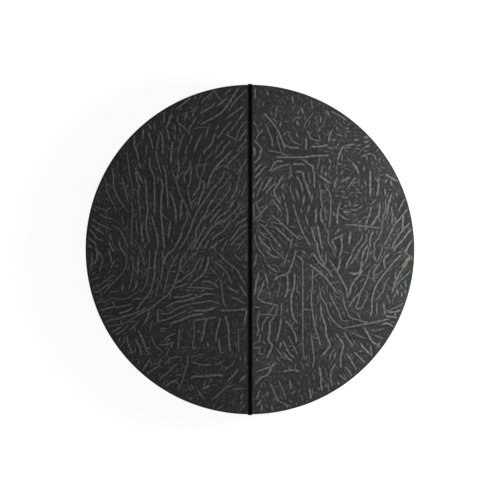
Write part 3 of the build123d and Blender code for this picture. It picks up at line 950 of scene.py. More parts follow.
# The main creases, as plan points across and along in hundredths of the rim's radius.
LEFT_CREASES: tuple[tuple[int, ...], ...] = (
    (-88, 44, -87, 35, -84, 29, -81, 24), (-84, 50, -83, 44, -83, 38, -80, 31, -76, 25),
    (-78, 44, -76, 37, -74, 29), (-75, 60, -74, 52, -73, 45, -72, 41, -71, 34, -72, 30),
    (-72, 29, -71, 23, -72, 15, -72, 7, -72, 2), (-70, 50, -68, 46, -65, 40), (-68, 31, -67, 24, -67, 18),
    (-69, 18, -69, 13, -68, 9), (-66, 17, -66, 11, -65, 4),
    (-64, 44, -63, 38, -63, 31, -62, 24, -63, 19, -63, 11, -61, 4), (-63, 64, -63, 57),
    (-61, 56, -61, 50, -58, 44, -58, 37, -58, 29, -58, 21), (-62, 72, -60, 66, -59, 61),
    (-57, 61, -57, 56, -55, 50, -54, 46), (-56, 45, -56, 40),
    (-55, 44, -53, 40, -54, 32, -54, 21, -53, 11, -52, 0), (-53, 51, -51, 46, -51, 40, -50, 32, -50, 25),
    (-60, 21, -58, 14, -56, 7, -56, 0), (-55, 72, -53, 68, -53, 58), (-52, 75, -50, 72, -49, 66),
    (-47, 66, -48, 58, -48, 52), (-48, 49, -45, 42, -43, 35, -39, 27, -36, 19),
    (-49, 35, -47, 31, -45, 23, -45, 16), (-40, 70, -42, 66, -44, 58), (-35, 70, -37, 64),
    (-29, 70, -32, 65, -34, 59), (-25, 75, -27, 68), (-7, 98, -11, 92, -16, 84, -22, 80, -30, 76),
    (-14, 92, -20, 87), (-2, 97, -10, 89, -13, 84), (-4, 87, -11, 82, -15, 79), (-11, 78, -15, 74, -20, 67),
    (-16, 66, -20, 62, -21, 58), (-11, 60, -16, 55, -20, 51, -24, 45, -26, 37),
    (-20, 40, -24, 35, -28, 29, -31, 25, -34, 19, -36, 13, -39, 6, -43, 0),
    (-12, 41, -12, 37, -17, 30, -23, 23, -28, 18), (-27, 15, -30, 9, -34, 2, -35, 0),
    (-2, 12, -8, 7, -12, 2), (-41, 11, -43, 6, -46, 1), (-38, 37, -37, 31, -35, 24), (-78, 21, -77, 15),
    (-84, 15, -79, 12, -76, 6, -74, 1), (-97, 19, -91, 15, -84, 12), (-44, 77, -41, 75, -38, 72),
    (-36, 92, -40, 89, -45, 85), (-48, 83, -47, 80), (-15, 70, -11, 68, -7, 66),
    (-37, 27, -34, 30, -32, 32), (-81, 54, -80, 50), (-68, 54, -66, 49), (-58, 77, -58, 72),
    (-22, 31, -26, 25), (-17, 51, -12, 49), (-33, 46, -29, 41), (-25, 6, -28, 0),
    (-96, -2, -96, -7, -97, -14), (-89, -5, -92, -14), (-82, -6, -85, -12),
    (-75, -2, -75, -10, -78, -15, -84, -21, -89, -27), (-82, -15, -88, -19, -92, -22, -96, -22),
    (-71, -4, -71, -10, -72, -19, -74, -25), (-68, -4, -68, -15), (-65, -4, -64, -10),
    (-61, 0, -61, -7, -62, -14, -63, -21, -67, -27),
    (-57, 0, -58, -8, -58, -17, -61, -27, -65, -31, -69, -37),
    (-53, 0, -53, -10, -54, -18, -57, -25, -57, -29), (-43, -2, -47, -8, -50, -15, -51, -21, -53, -27),
    (-38, -1, -42, -6, -43, -13, -46, -21, -49, -27, -55, -31, -59, -35, -65, -38, -70, -41),
    (-32, -1, -34, -4), (-28, -4, -31, -13), (-25, -4, -26, -10, -29, -16, -35, -20),
    (-19, -2, -15, -7, -8, -12, -6, -16, -3, -21), (-22, -7, -18, -10, -14, -14, -11, -21),
    (-18, -17, -17, -25, -16, -33, -14, -35), (-39, -23, -31, -23, -22, -24),
    (-47, -29, -41, -29, -35, -27), (-34, -27, -31, -29, -28, -27, -22, -27),
    (-51, -35, -46, -32, -39, -31, -32, -29), (-36, -33, -29, -32, -24, -31, -18, -33),
    (-55, -39, -49, -39, -43, -35, -36, -33), (-56, -44, -49, -42, -43, -39, -38, -37),
    (-35, -37, -26, -37, -21, -35), (-49, -45, -42, -43, -36, -40, -28, -39),
    (-34, -43, -27, -42, -20, -41), (-18, -37, -11, -37, -2, -36), (-12, -29, -8, -30, -3, -33),
    (-80, -39, -74, -37, -71, -35), (-90, -41, -84, -40), (-88, -47, -81, -46, -74, -44, -70, -41),
    (-82, -52, -77, -49, -74, -46), (-74, -50, -70, -46, -67, -43), (-84, -50, -78, -47),
    (-61, -37, -63, -43, -65, -46), (-84, -31, -81, -36), (-77, -21, -78, -25),
    (-75, -52, -74, -58, -71, -64), (-70, -54, -67, -59, -66, -65),
    (-68, -49, -65, -55, -63, -61, -61, -64), (-60, -52, -58, -58, -53, -62), (-56, -36, -56, -45),
    (-34, -43, -34, -52, -35, -61), (-43, -48, -43, -54, -44, -61),
    (-15, -40, -13, -48, -13, -54, -12, -62), (-19, -54, -18, -63), (-26, -56, -25, -60),
    (-7, -47, -7, -55, -7, -63), (-36, -68, -30, -70, -23, -70),
    (-38, -64, -38, -70, -40, -75, -41, -80, -44, -85), (-36, -79, -35, -77, -28, -77, -19, -76, -16, -77),
    (-23, -91, -18, -87, -15, -84, -10, -82), (-11, -85, -3, -84), (-54, -66, -56, -72),
    (-25, -78, -22, -80), (-36, -82, -34, -85), (-4, -87, -6, -91), (-3, -94, -7, -99),
    (-55, -58, -51, -58, -46, -56), (-55, -48, -50, -48), (-32, -85, -28, -91), (-10, -91, -10, -95),
    (-45, -72, -43, -74), (-51, -64, -49, -60),
)
RIGHT_CREASES: tuple[tuple[int, ...], ...] = (
    (8, 83, 13, 78, 17, 72, 20, 65, 21, 61), (19, 78, 18, 74), (20, 69, 23, 72), (11, 60, 17, 59, 23, 57),
    (15, 56, 26, 56, 33, 56, 39, 57, 48, 57), (42, 45, 49, 40), (45, 40, 49, 33, 49, 24, 48, 13),
    (24, 52, 25, 46, 23, 42), (28, 45, 31, 40, 32, 35), (39, 48, 39, 42, 39, 37), (43, 37, 43, 31, 44, 25),
    (26, 28, 28, 21, 30, 15, 33, 8, 37, 2), (21, 29, 23, 21, 23, 15), (13, 31, 16, 27, 19, 23),
    (1, 17, 6, 21, 11, 27), (6, 16, 11, 11, 15, 6, 19, 1), (13, 21, 19, 16, 23, 12, 29, 7, 31, 6),
    (41, 15, 42, 9, 43, 4, 44, 0), (37, 14, 39, 7, 40, 4), (53, 15, 53, 23, 55, 29),
    (57, 15, 63, 15, 70, 14, 79, 13), (73, 66, 69, 65), (57, 63, 64, 64), (53, 54, 55, 60, 57, 63),
    (62, 53, 65, 49, 66, 46), (67, 56, 71, 58, 75, 58, 77, 54), (55, 41, 59, 43, 61, 44),
    (59, 37, 62, 41, 64, 44), (52, 37, 51, 39, 53, 44), (78, 44, 78, 37, 77, 32), (73, 48, 73, 42, 73, 32),
    (82, 37, 82, 33), (79, 29, 78, 19), (86, 34, 84, 27, 83, 21), (94, 31, 91, 25, 90, 23),
    (98, 17, 92, 11, 88, 5, 86, 0), (88, 16, 85, 9, 81, 2), (96, 25, 92, 20, 88, 15),
    (82, 46, 85, 44, 90, 41), (49, 84, 55, 81, 59, 78), (46, 85, 49, 80), (37, 91, 38, 85),
    (43, 81, 43, 77), (42, 74, 42, 71), (34, 68, 34, 60), (28, 71, 29, 68), (48, 65, 48, 69, 50, 73),
    (53, 75, 53, 72), (58, 71, 58, 67), (3, 98, 3, 91), (10, 97, 11, 93), (16, 40, 16, 37),
    (33, 33, 32, 27), (38, 34, 37, 28), (36, 27, 35, 22), (64, 34, 65, 31), (60, 30, 61, 26),
    (77, 31, 73, 27), (51, 9, 55, 13), (50, 6, 57, 9), (61, 11, 60, 3), (26, 7, 24, 0), (22, 21, 23, 15),
    (1, 46, 7, 52), (2, 37, 7, 44), (4, 32, 8, 42),
    (31, -4, 32, -9, 32, -17, 32, -27, 32, -40, 32, -50, 32, -60, 33, -67),
    (27, -14, 27, -22, 25, -28, 25, -36, 26, -41, 29, -45),
    (38, -12, 38, -20, 37, -30, 38, -39, 39, -46, 41, -52, 43, -59),
    (42, -22, 43, -29, 46, -33, 48, -40, 52, -45, 56, -48, 61, -47, 71, -45, 77, -44, 85, -42),
    (43, -33, 43, -39, 46, -46, 46, -52, 49, -58, 46, -62, 43, -65), (48, -26, 50, -31, 53, -36, 56, -44),
    (36, -9, 40, -12, 45, -16, 49, -21, 53, -27), (28, -3, 33, -8), (38, -2, 42, -8, 48, -13, 50, -17),
    (48, -6, 52, -12, 56, -19, 59, -25, 59, -30), (23, -2, 21, -7, 21, -11),
    (28, 0, 26, -8, 23, -15, 18, -16, 14, -19), (9, 0, 13, -4, 18, -5), (10, -9, 14, -12, 17, -14),
    (62, -3, 59, -8, 58, -12), (68, -6, 67, -14, 63, -15, 60, -14),
    (73, -12, 71, -18, 68, -25, 63, -30, 60, -35), (79, -8, 75, -13, 75, -19),
    (92, -3, 87, -8, 83, -13, 79, -18, 76, -23, 74, -30, 74, -37, 73, -41), (85, -2, 81, -6, 82, -12),
    (72, -27, 69, -33, 67, -37), (76, -4, 76, -7), (77, -32, 77, -40), (81, -32, 82, -40),
    (83, -27, 85, -33), (94, -2, 98, -4, 99, -8), (94, -19, 95, -23), (89, -24, 90, -28),
    (94, -24, 95, -27), (65, -38, 67, -42), (61, -50, 65, -52, 70, -54),
    (69, -47, 72, -52, 74, -56, 79, -59), (57, -50, 59, -54, 63, -59),
    (52, -51, 55, -55, 57, -58, 55, -65, 55, -72), (63, -62, 67, -66, 71, -70), (73, -58, 74, -65),
    (75, -52, 81, -54), (52, -60, 49, -63, 48, -68), (51, -67, 52, -62),
    (52, -69, 49, -74, 49, -80, 50, -83), (42, -71, 43, -77, 43, -82, 44, -86), (54, -76, 59, -80),
    (37, -51, 38, -59, 39, -66, 38, -72), (19, -41, 18, -48, 16, -56),
    (12, -43, 12, -49, 11, -56, 14, -58, 10, -66), (4, -29, 8, -32, 13, -33, 17, -34), (1, -35, 6, -35),
    (19, -32, 19, -40), (21, -43, 25, -47, 28, -53, 28, -57), (23, -52, 26, -58, 29, -64),
    (20, -55, 23, -62, 27, -66), (16, -60, 19, -64, 22, -67), (20, -62, 23, -66, 26, -68),
    (16, -65, 18, -68), (3, -82, 6, -78, 11, -76, 13, -71, 16, -68), (6, -85, 4, -91), (7, -91, 4, -95),
    (12, -81, 15, -87, 17, -93), (17, -79, 20, -85, 22, -91), (24, -79, 25, -85), (36, -84, 37, -91),
    (20, -74, 26, -73, 30, -74), (19, -56, 18, -60), (2, -60, 7, -59), (9, -14, 11, -21),
    (12, -25, 12, -30), (31, 0, 34, -3), (46, -2, 46, -9), (79, -56, 77, -60),
)


@dataclass
class CreaseMap:
    """Direction, spacing and length of the creases at every place of one half."""

    marks: Sequence[CreaseMark]
    rim: float
    cell: float = 0.01
    table: np.ndarray = field(init=False)

    def __post_init__(self) -> None:
        """Works the table out on a grid of places."""
        side = np.arange(-self.rim, self.rim + self.cell, self.cell)
        u, v = np.meshgrid(side / self.rim, side / self.rim, indexing="ij")
        total = np.zeros_like(u)
        layers = [np.zeros_like(u) for _ in range(4)]
        for mark in self.marks:
            weight = 1 / ((u - mark.u) ** 2 + (v - mark.v) ** 2 + 0.003) ** 2
            double = 2 * math.radians(mark.lean)
            total += weight
            for layer, value in zip(layers, (math.cos(double), math.sin(double), mark.gap, mark.run)):
                layer += weight * value
        lean = np.arctan2(layers[1], layers[0]) / 2
        sway = [[self._sway(a, b) for b in side.tolist()] for a in side.tolist()]
        spread = [[1 + 0.35 * soft_noise(7 * a, 7 * b, 3.5) for b in side] for a in side]
        gap = layers[2] / total * np.array(spread)
        self.table = np.stack([lean + np.radians(sway), gap / 1000, layers[3] / total / 1000], 2)

    def _sway(self, x: float, y: float) -> float:
        """How far the flow turns aside at a plan point, in degrees."""
        broad = 18 * soft_noise(5 * x, 5 * y, 1.5) + 20 * soft_noise(13 * x, 13 * y, 7.5)
        return broad + 34 * soft_noise(27 * x, 27 * y, 5.5) + 24 * soft_noise(52 * x, 52 * y, 2.5)

    def at(self, x: float, y: float) -> tuple[float, float, float]:
        """Lean in radians, gap and run in metres, at a plan point."""
        limit = len(self.table) - 1
        i = min(limit, max(0, round((x + self.rim) / self.cell)))
        j = min(limit, max(0, round((y + self.rim) / self.cell)))
        lean, gap, run = self.table[i, j].tolist()
        return lean, gap, run


@dataclass
class Crease:
    """One crease: its plan points, how far it stands up and half of its width."""

    path: np.ndarray
    strength: float
    half_width: float


class CreaseKind(Enum):
    """Long creases along the flow, a few that cross it, and short ticks between them."""

    LONG = "long"
    CROSSING = "crossing"
    TICK = "tick"


@dataclass
class CreaseTracer:
    """Lays creases over one half, following the crease map."""

    sizes: CoverSizes
    half: Half
    chart: CreaseMap
    main: Sequence[Sequence[int]]
    seed: int
    step: float = 0.006
    cell: float = 0.012
    creases: list[Crease] = field(default_factory=list)
    taken: dict[tuple[int, int], list[tuple[float, float]]] = field(default_factory=dict)

    def inside(self, x: float, y: float) -> bool:
        """Whether a plan point is on the flat of this half's top."""
        clear_side = x * self.half.value > self.sizes.gap + 0.010
        return clear_side and math.hypot(x, y) < self.sizes.rim - 0.010

    def nearest(self, x: float, y: float, reach: float) -> tuple[float, float] | None:
        """The nearest point of the creases laid so far, within reach, or None."""
        best, found = reach, None
        span = int(reach / self.cell) + 1
        i, j = int(x // self.cell), int(y // self.cell)
        for a in range(i - span, i + span + 1):
            for b in range(j - span, j + span + 1):
                for p in self.taken.get((a, b), ()):
                    away = math.hypot(p[0] - x, p[1] - y)
                    if away < best:
                        best, found = away, p
        return found

    def lay(self, path: list[tuple[float, float]], strength: float, half_width: float) -> None:
        """Keeps a traced crease and marks its places as taken."""
        self.creases.append(Crease(np.array(path), strength, half_width))
        for x, y in path:
            self.taken.setdefault((int(x // self.cell), int(y // self.cell)), []).append((x, y))

    def follow(
        self, x: float, y: float, forward: int, length: float, stop: float, aside: float = 0.0
    ) -> list[tuple[float, float]]:
        """Traces from a point along the flow.

        Args:
            x: Start across.
            y: Start along.
            forward: 1 or -1, which way along the flow.
            length: How far to go.
            stop: Share of the gap at which it runs into its neighbour.
            aside: Angle in radians by which it crosses the flow.

        Returns:
            The points after the start.
        """
        path: list[tuple[float, float]] = []
        lean = self.chart.at(x, y)[0] + aside
        way = (math.cos(lean) * forward, math.sin(lean) * forward)
        for _ in range(int(length / self.step)):
            lean, gap, _run = self.chart.at(x, y)
            new = (math.cos(lean + aside), math.sin(lean + aside))
            if new[0] * way[0] + new[1] * way[1] < 0:
                new = (-new[0], -new[1])
            way = (0.35 * way[0] + 0.65 * new[0], 0.35 * way[1] + 0.65 * new[1])
            size = math.hypot(*way)
            x, y = x + way[0] / size * self.step, y + way[1] / size * self.step
            if not self.inside(x, y):
                break
            path.append((x, y))
            near = self.nearest(x, y, stop * gap)
            if near:
                path.append(near)
                break
        return path

    def trace(self) -> list[Crease]:
        """Lays the main creases, then long ones where there is room, crossing ones and short ticks."""
        dice = np.random.default_rng(self.seed)
        for row in self.main:
            self._draw(np.array(row).reshape(-1, 2) * self.sizes.rim / 100, dice.uniform(0, 1))
        for kind, tries in ((CreaseKind.LONG, 4000), (CreaseKind.CROSSING, 40), (CreaseKind.TICK, 9000)):
            spots = dice.uniform(-self.sizes.rim, self.sizes.rim, (tries, 2))
            for x, y in spots.tolist():
                x = abs(x) * self.half.value
                luck, size, tilt = dice.uniform(0, 1), dice.uniform(0.4, 1.5), dice.normal(0, 1)
                if self.inside(x, y):
                    self._try(kind, x, y, luck, size, tilt)
        return self.creases

    def _draw(self, corners: np.ndarray, luck: float) -> None:
        """Lays one main crease through its plan points, with its corners eased.

        Args:
            corners: Its plan points.
            luck: 0 to 1, for its strength and width.
        """
        early = 0.8 * corners[:-1] + 0.2 * corners[1:]
        late = 0.2 * corners[:-1] + 0.8 * corners[1:]
        eased_line = np.concatenate([corners[:1], np.stack([early, late], 1).reshape(-1, 2), corners[-1:]])
        run = run_of(eased_line)
        spots = rows_at(eased_line, run, np.linspace(0, run[-1], max(3, round(run[-1] / self.step))))
        path = [(x, y) for x, y in spots.tolist() if self.inside(x, y)]
        if len(path) > 2:
            self.lay(path, 0.7 + 0.3 * luck, 0.0068 + 0.0022 * luck)

    def _try(self, kind: CreaseKind, x: float, y: float, luck: float, size: float, tilt: float) -> None:
        """Lays one crease from a plan point, if there is room for it.

        Args:
            kind: Which sort of crease.
            x: Start across.
            y: Start along.
            luck: 0 to 1, for its strength and width.
            size: Its length as a share of the usual one.
            tilt: How far it leans off the flow, in usual deviations.
        """
        _lean, gap, run = self.chart.at(x, y)
        clear, stop, aside, least = gap * 0.92, 0.24, 0.0, 4
        strength, half_width = 0.6 + 0.4 * luck, 0.0064 + 0.0024 * luck
        if kind is CreaseKind.CROSSING:
            clear, stop, aside, run = gap * 0.3, 0.0, math.copysign(0.6, tilt) + 0.25 * tilt, 0.09
            strength, half_width = 0.5 + 0.35 * luck, 0.0056
        elif kind is CreaseKind.TICK:
            bare = soft_noise(4 * x, 4 * y, 6.6) > 0.12
            clear, stop, aside, run = 0.030 if bare else 0.0150, 0.15, 0.65 * tilt, 0.034
            strength, half_width, least = 0.35 + 0.5 * luck, 0.0048 + 0.0016 * luck, 2
        if self.nearest(x, y, clear):
            return
        ahead = self.follow(x, y, 1, run * size / 2, stop, aside)
        behind = self.follow(x, y, -1, run * size / 2, stop, aside)
        path = [*reversed(behind), (x, y), *ahead]
        if len(path) > least:
            self.lay(path, strength, half_width)


# ------------------------------------------------------------------ top panels
@dataclass
class GrainedTop:
    """The grained top vinyl of one half, pulled over the edge and turned down as a lip."""

    half: Half
    sizes: CoverSizes
    finish: GrainedVinyl
    seed: int
    relief: float = 0.0012
    grid: float = 0.022
    fine: float = 0.007
    sample: float = 0.002
    valley_reach: float = 1.9

    def build(self) -> list[bpy.types.Object]:
        left = self.half is Half.LEFT
        marks, drawn = (LEFT_MARKS, LEFT_CREASES) if left else (RIGHT_MARKS, RIGHT_CREASES)
        tracer = CreaseTracer(self.sizes, self.half, CreaseMap(marks, self.sizes.rim), drawn, self.seed)
        creases = tracer.trace()
        outline = HalfOutline(self.half, self.sizes.rim, self.sizes.gap)
        ring, ways = outline.points(0.012)
        border = ring - ways * self.sizes.edge
        tree, values = self._samples(creases)
        inner = self._inner_points(creases, tree)
        spots, faces = filled([border], inner)
        heights, raised = self._relief(spots, tree, values, len(border))
        pieces = MeshPieces()
        z = self.sizes.top(spots[:, 0]) + heights
        pieces.add(np.column_stack([spots, z]), faces)
        pieces.grid(self._edge_rows(ring, ways), closed_across=True)
        made = pieces.make(f"top_vinyl_{self.half.word}", self.finish)
        weld(made, 1e-5)
        self._mark(made, spots, raised)
        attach(made, self.half.body)
        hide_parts(f"top_panel_{self.half.word}")
        rests = [f"foam_core_{self.half.word}"]
        LOG.info("%s: %d creases, %d faces", made.name, len(creases), len(made.data.polygons))
        return [made]

    def _samples(self, creases: Sequence[Crease]) -> tuple[kdtree.KDTree, list[tuple[float, float]]]:
        """Close points along the creases, with strength and half width at each."""
        spots: list[np.ndarray] = []
        values: list[tuple[float, float]] = []
        for crease in creases:
            run = run_of(crease.path)
            at = np.linspace(0, run[-1], max(2, int(run[-1] / self.sample)))
            spots.append(rows_at(crease.path, run, at))
            taper = np.minimum(1, np.minimum(at, run[-1] - at) / 0.014) ** 0.6
            swell = 1 + 0.2 * np.sin(at * 150 + crease.strength * 60)
            swell += 0.12 * np.sin(at * 410 + crease.half_width * 9000)
            strong = crease.strength * (0.25 + 0.75 * taper) * (0.88 + 0.12 * swell)
            wide = crease.half_width * (0.6 + 0.4 * taper) * swell
            values += list(zip(strong.tolist(), wide.tolist()))
        found = np.concatenate(spots)
        tree = kdtree.KDTree(len(found))
        for index, (x, y) in enumerate(found.tolist()):
            tree.insert((x, y, 0), index)
        tree.balance()
        return tree, values

    def _inner_points(self, creases: Sequence[Crease], tree: kdtree.KDTree) -> np.ndarray:
        """Mesh points on and beside each crease, and a looser grid between them."""
        kept: dict[tuple[int, int], tuple[float, float]] = {}
        edge = self.sizes.edge + 0.003

        def keep(x: float, y: float, cell: float) -> None:
            """Keeps a point if it is on the flat and its cell is free."""
            if x * self.half.value < self.sizes.gap + edge or math.hypot(x, y) > self.sizes.rim - edge:
                return
            kept.setdefault((round(x / cell), round(y / cell)), (x, y))

        for offset in (0.0, -0.5, 0.5, -1.0, 1.0, -1.65, 1.65):
            for crease in creases:
                run = run_of(crease.path)
                at = np.linspace(0, run[-1], max(2, round(run[-1] / self.fine) + 1))
                line = rows_at(crease.path, run, at)
                ahead = unit(np.gradient(line, axis=0))
                shifted = line + np.stack([-ahead[:, 1], ahead[:, 0]], 1) * offset * crease.half_width
                for x, y in shifted.tolist():
                    keep(x, y, 0.0024)
        side = np.arange(-self.sizes.rim, self.sizes.rim, self.grid)
        for row, a in enumerate(side.tolist()):
            for b in side.tolist():
                x, y = a, b + (row % 2) * self.grid / 2
                if tree.find((x, y, 0))[2] > 0.008:
                    keep(x, y, 0.004)
        return np.array(list(kept.values()))

    def _relief(
        self, spots: np.ndarray, tree: kdtree.KDTree, values: list[tuple[float, float]], rim: int
    ) -> tuple[np.ndarray, np.ndarray]:
        """Height above the plane and crease share at each plan point.

        Args:
            spots: Plan points, the border first.
            tree: The crease samples.
            values: Strength and half width of each sample.
            rim: How many of the points are on the border.

        Returns:
            The heights in metres, and the crease shares: up to 1 on a ridge, below 0 in the valley beside it,
            where the colour is darkened as painted shade.
        """
        heights, raised = np.zeros(len(spots)), np.zeros(len(spots))
        for index, (x, y) in enumerate(spots.tolist()):
            if index < rim:
                continue
            _spot, which, away = tree.find((x, y, 0))
            strong, wide = values[which]
            if away < wide * 0.9:
                raised[index] = strong * math.cos(math.pi / 2 * away / wide) ** 0.8
            elif away < wide * self.valley_reach:
                raised[index] = -strong * (self.valley_reach - away / wide)
            inward = min(self.sizes.rim - math.hypot(x, y), abs(x) - self.sizes.gap)
            fade = min(1.0, inward / 0.05)
            swell = 0.0007 * soft_noise(6 * x, 6 * y, 2.5) + 0.0004 * soft_noise(17 * x, 17 * y, 4.5)
            heights[index] = self.relief * max(raised[index], 0.35 * raised[index]) + fade * (swell + 0.0006)
        return heights, raised

    def _edge_rows(self, ring: np.ndarray, ways: np.ndarray) -> np.ndarray:
        """Rings of points round the soft edge, down the lip and back under it."""
        edge, lip = self.sizes.edge, self.sizes.lip
        bends = [(edge * (1 - math.sin(a)), edge * (1 - math.cos(a))) for a in EDGE_TURNS]
        drops = bends + [(0.0, 0.010), (0.0, 0.014), (0.0, 0.018), (0.0, lip - 0.0008)]
        drops += [(0.0005, lip), (0.0013, lip), (0.0014, lip - 0.004), (0.0014, lip - 0.010)]
        rows = []
        for inset, drop in drops:
            spots = ring - ways * inset
            pucker = np.zeros(len(ring))
            if 0.008 < drop and inset < 0.0006:
                depth = 0.0006 * (drop - 0.008) / (lip - 0.008)
                folds = [max(0.0, 0.4 + soft_noise(45 * x, 45 * y, 9.1)) for x, y in ring.tolist()]
                pucker = depth * np.array(folds)
            spots = spots - ways * pucker[:, None]
            rows.append(level(spots, self.sizes.top(spots[:, 0]) - drop))
        return np.stack(rows)

    def _mark(self, made: bpy.types.Object, spots: np.ndarray, raised: np.ndarray) -> None:
        """Stores the crease share at each vertex, for the colour: paler on the ridges and painted shade in
        the valleys beside them.
        """
        tree = kdtree.KDTree(len(spots))
        for index, (x, y) in enumerate(spots.tolist()):
            tree.insert((x, y, 0), index)
        tree.balance()
        shares = []
        for vertex in made.data.vertices:
            _spot, which, away = tree.find((vertex.co.x, vertex.co.y, 0))
            shares.append(float(raised[which]) if away < 1e-4 else 0.0)
        made.data.attributes.new("crease", "FLOAT", "POINT").data.foreach_set("value", shares)


EDGE_TURNS = tuple(math.radians(a) for a in (0, 22.5, 45, 67.5, 90))


# ------------------------------------------------------------------ hinge
@dataclass
class HingeGutter:
    """The vinyl that joins the halves, black of its own and written darker still as painted shade in the
    gutter: two flaps, a gutter between them and a tab at each end.
    """

    sizes: CoverSizes
    flap: float = 0.0135
    tab_foot: float = 0.0242
    flat_width: float = 0.047
    upper: tuple[Point2, ...] = (
        (13.5, 0.9), (12.4, 0.35), (11.3, -0.4), (9.7, -2.3), (8.8, -4.7), (8.6, -7.0), (7.4, -9.4),
        (5.6, -10.9), (3.0, -11.9), (0.0, -12.3),
    )
    lower: tuple[Point2, ...] = (
        (13.4, -0.3), (12.6, -0.9), (11.9, -1.45), (10.7, -2.95), (9.9, -4.9), (9.7, -7.6), (8.5, -10.3),
        (6.4, -12.0), (3.4, -13.1), (0.0, -13.6),
    )

    def build(self) -> list[bpy.types.Object]:
        """Makes the gutter and its thread."""
        pieces = MeshPieces()
        pieces.slab(self._rows(self.upper, 0.0), self._rows(self.lower, 0.0012))
        made = pieces.make("hinge_gutter", HINGE_VINYL)
        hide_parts("hinge_web")
        threads = MeshPieces()
        y = np.linspace(-self.sizes.rim + 0.012, self.sizes.rim - 0.012, 240)
        for side in (-1, 1):
            path = np.column_stack([np.full(240, side * 0.0119), y, np.full(240, self.sizes.ridge)])
            threads.stitches(path, np.tile([side * 0.45, 0, 0.9], (240, 1)))
        sewn = threads.make("hinge_threads", THREAD)
        for piece in (made, sewn):
            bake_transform(piece)
        LOG.info("%s: %d faces", made.name, len(made.data.polygons))
        return [made, sewn]

    def _rows(self, profile: Sequence[Point2], under: float) -> np.ndarray:
        """Rows of points from one end of the hinge to the other.

        Args:
            profile: Half of the section, from the flap's edge to the middle, in mm from the ridge.
            under: How far inside the tab's outer face this face lies.

        Returns:
            The points as rows, columns, 3.
        """
        half = np.array(profile) / 1000
        section = np.concatenate([half, (half[:-1] * (-1, 1))[::-1]])
        flat = np.column_stack([section[:, 0], np.full(len(section), 0.0006 - under)])
        flat[:, 0] = np.linspace(self.flap, -self.flap, len(section))
        rim = self.sizes.rim
        stations = [(y, 0.0, 0.0) for y in np.linspace(0, rim - 0.012, 90).tolist()]
        stations += [(rim - 0.008, 0.25, 0.0), (rim - 0.004, 0.7, 0.0), (rim - 0.0005, 1.0, 0.0)]
        for turn in (20, 40, 60, 80, 90):
            a, reach = math.radians(turn), 0.006 - under
            stations.append((rim - 0.0005 + reach * math.sin(a), 1.0, reach * (1 - math.cos(a))))
        stations += [(rim + 0.0056 - under, 1.0, drop) for drop in (0.011, 0.016, 0.0205, 0.0215)]
        rows = []
        for y, open_share, drop in stations:
            mixed = section * (1 - open_share) + flat * open_share
            ripple = 0.0004 * soft_noise(y * 30, 0.5) * (1 - open_share)
            z = self.sizes.ridge + mixed[:, 1] - drop + ripple
            rows.append(np.column_stack([mixed[:, 0], np.full(len(mixed), y), z]))
        top = np.stack(rows)
        return np.concatenate([top[:0:-1] * (1, -1, 1), top])


@dataclass
class HingeSeal:
    """The stuffed bar on the left half that fills the gap between the foam halves."""

    sizes: CoverSizes
    round_off: float = 0.005

    def build(self) -> list[bpy.types.Object]:
        """Makes the bar's vinyl sleeve with its sewn seams."""
        low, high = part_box("hinge_seal_sleeve")
        middle, size = (low + high) / 2, (high - low) / 2
        loop, facing = self._section(size.x - 0.0001, size.z - 0.0002)
        ends = ((0.0045, 0.0), (0.0028, 0.0), (0.0012, 0.0), (0.0004, 0.0005), (0.0, 0.0015))
        stations = [(back - size.y, tuck) for tuck, back in ends]
        stations += [(y, 0.0) for y in np.linspace(0.009 - size.y, size.y - 0.009, 180).tolist()]
        stations += [(size.y - back, tuck) for tuck, back in reversed(ends)]
        rows = []
        for y, tuck in stations:
            deep = 0.0007 * min(1.0, (size.y - abs(y)) / 0.02)
            dent = [deep * max(0.0, 0.3 + soft_noise(y * 22, a * 5, b * 5)) for a, b in (loop * 9).tolist()]
            pulled = loop - facing * (tuck + np.array(dent))[:, None]
            across, up = middle.x + pulled[:, 0], middle.z + pulled[:, 1]
            rows.append(np.column_stack([across, np.full(len(loop), middle.y + y), up]))
        pieces = MeshPieces()
        pieces.grid(np.stack(rows), closed_across=True)
        count = len(loop)
        last = (len(rows) - 1) * count
        pieces.faces += [tuple(reversed(range(count))), tuple(last + i for i in range(count))]
        made = pieces.make("hinge_seal_cover", UNDERSIDE_VINYL)
        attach(made, "left_half")
        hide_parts("hinge_seal_sleeve")
        threads = MeshPieces()
        y = np.linspace(-size.y + 0.01, size.y - 0.01, 200)
        for z in (high.z - 0.008, low.z + 0.008):
            path = np.column_stack([np.full(200, high.x - 0.0006), y, np.full(200, z)])
            threads.stitches(path, np.tile([1.0, 0, 0], (200, 1)))
        sewn = threads.make("hinge_seal_threads", THREAD)
        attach(sewn, "left_half")
        LOG.info("%s: %d faces", made.name, len(made.data.polygons))
        return [made, sewn]

    def _section(self, half_width: float, half_height: float) -> tuple[np.ndarray, np.ndarray]:
        """A rounded upright section, and the outward direction at each of its points."""
        spots, ways = [], []
        corners = ((1, -1, -90), (1, 1, 0), (-1, 1, 90), (-1, -1, 180))
        for sx, sz, start in corners:
            for turn in np.radians(np.linspace(start, start + 90, 6)):
                way = (math.cos(turn), math.sin(turn))
                inner = (sx * (half_width - self.round_off), sz * (half_height - self.round_off))
                spots.append((inner[0] + way[0] * self.round_off, inner[1] + way[1] * self.round_off))
                ways.append(way)
            if sx == sz:
                continue
            fill = np.linspace(-1, 1, 9)[1:-1] * sx
            for share in fill.tolist():
                spots.append((sx * half_width, share * (half_height - self.round_off)))
                ways.append((float(sx), 0.0))
        return np.array(spots), np.array(ways)


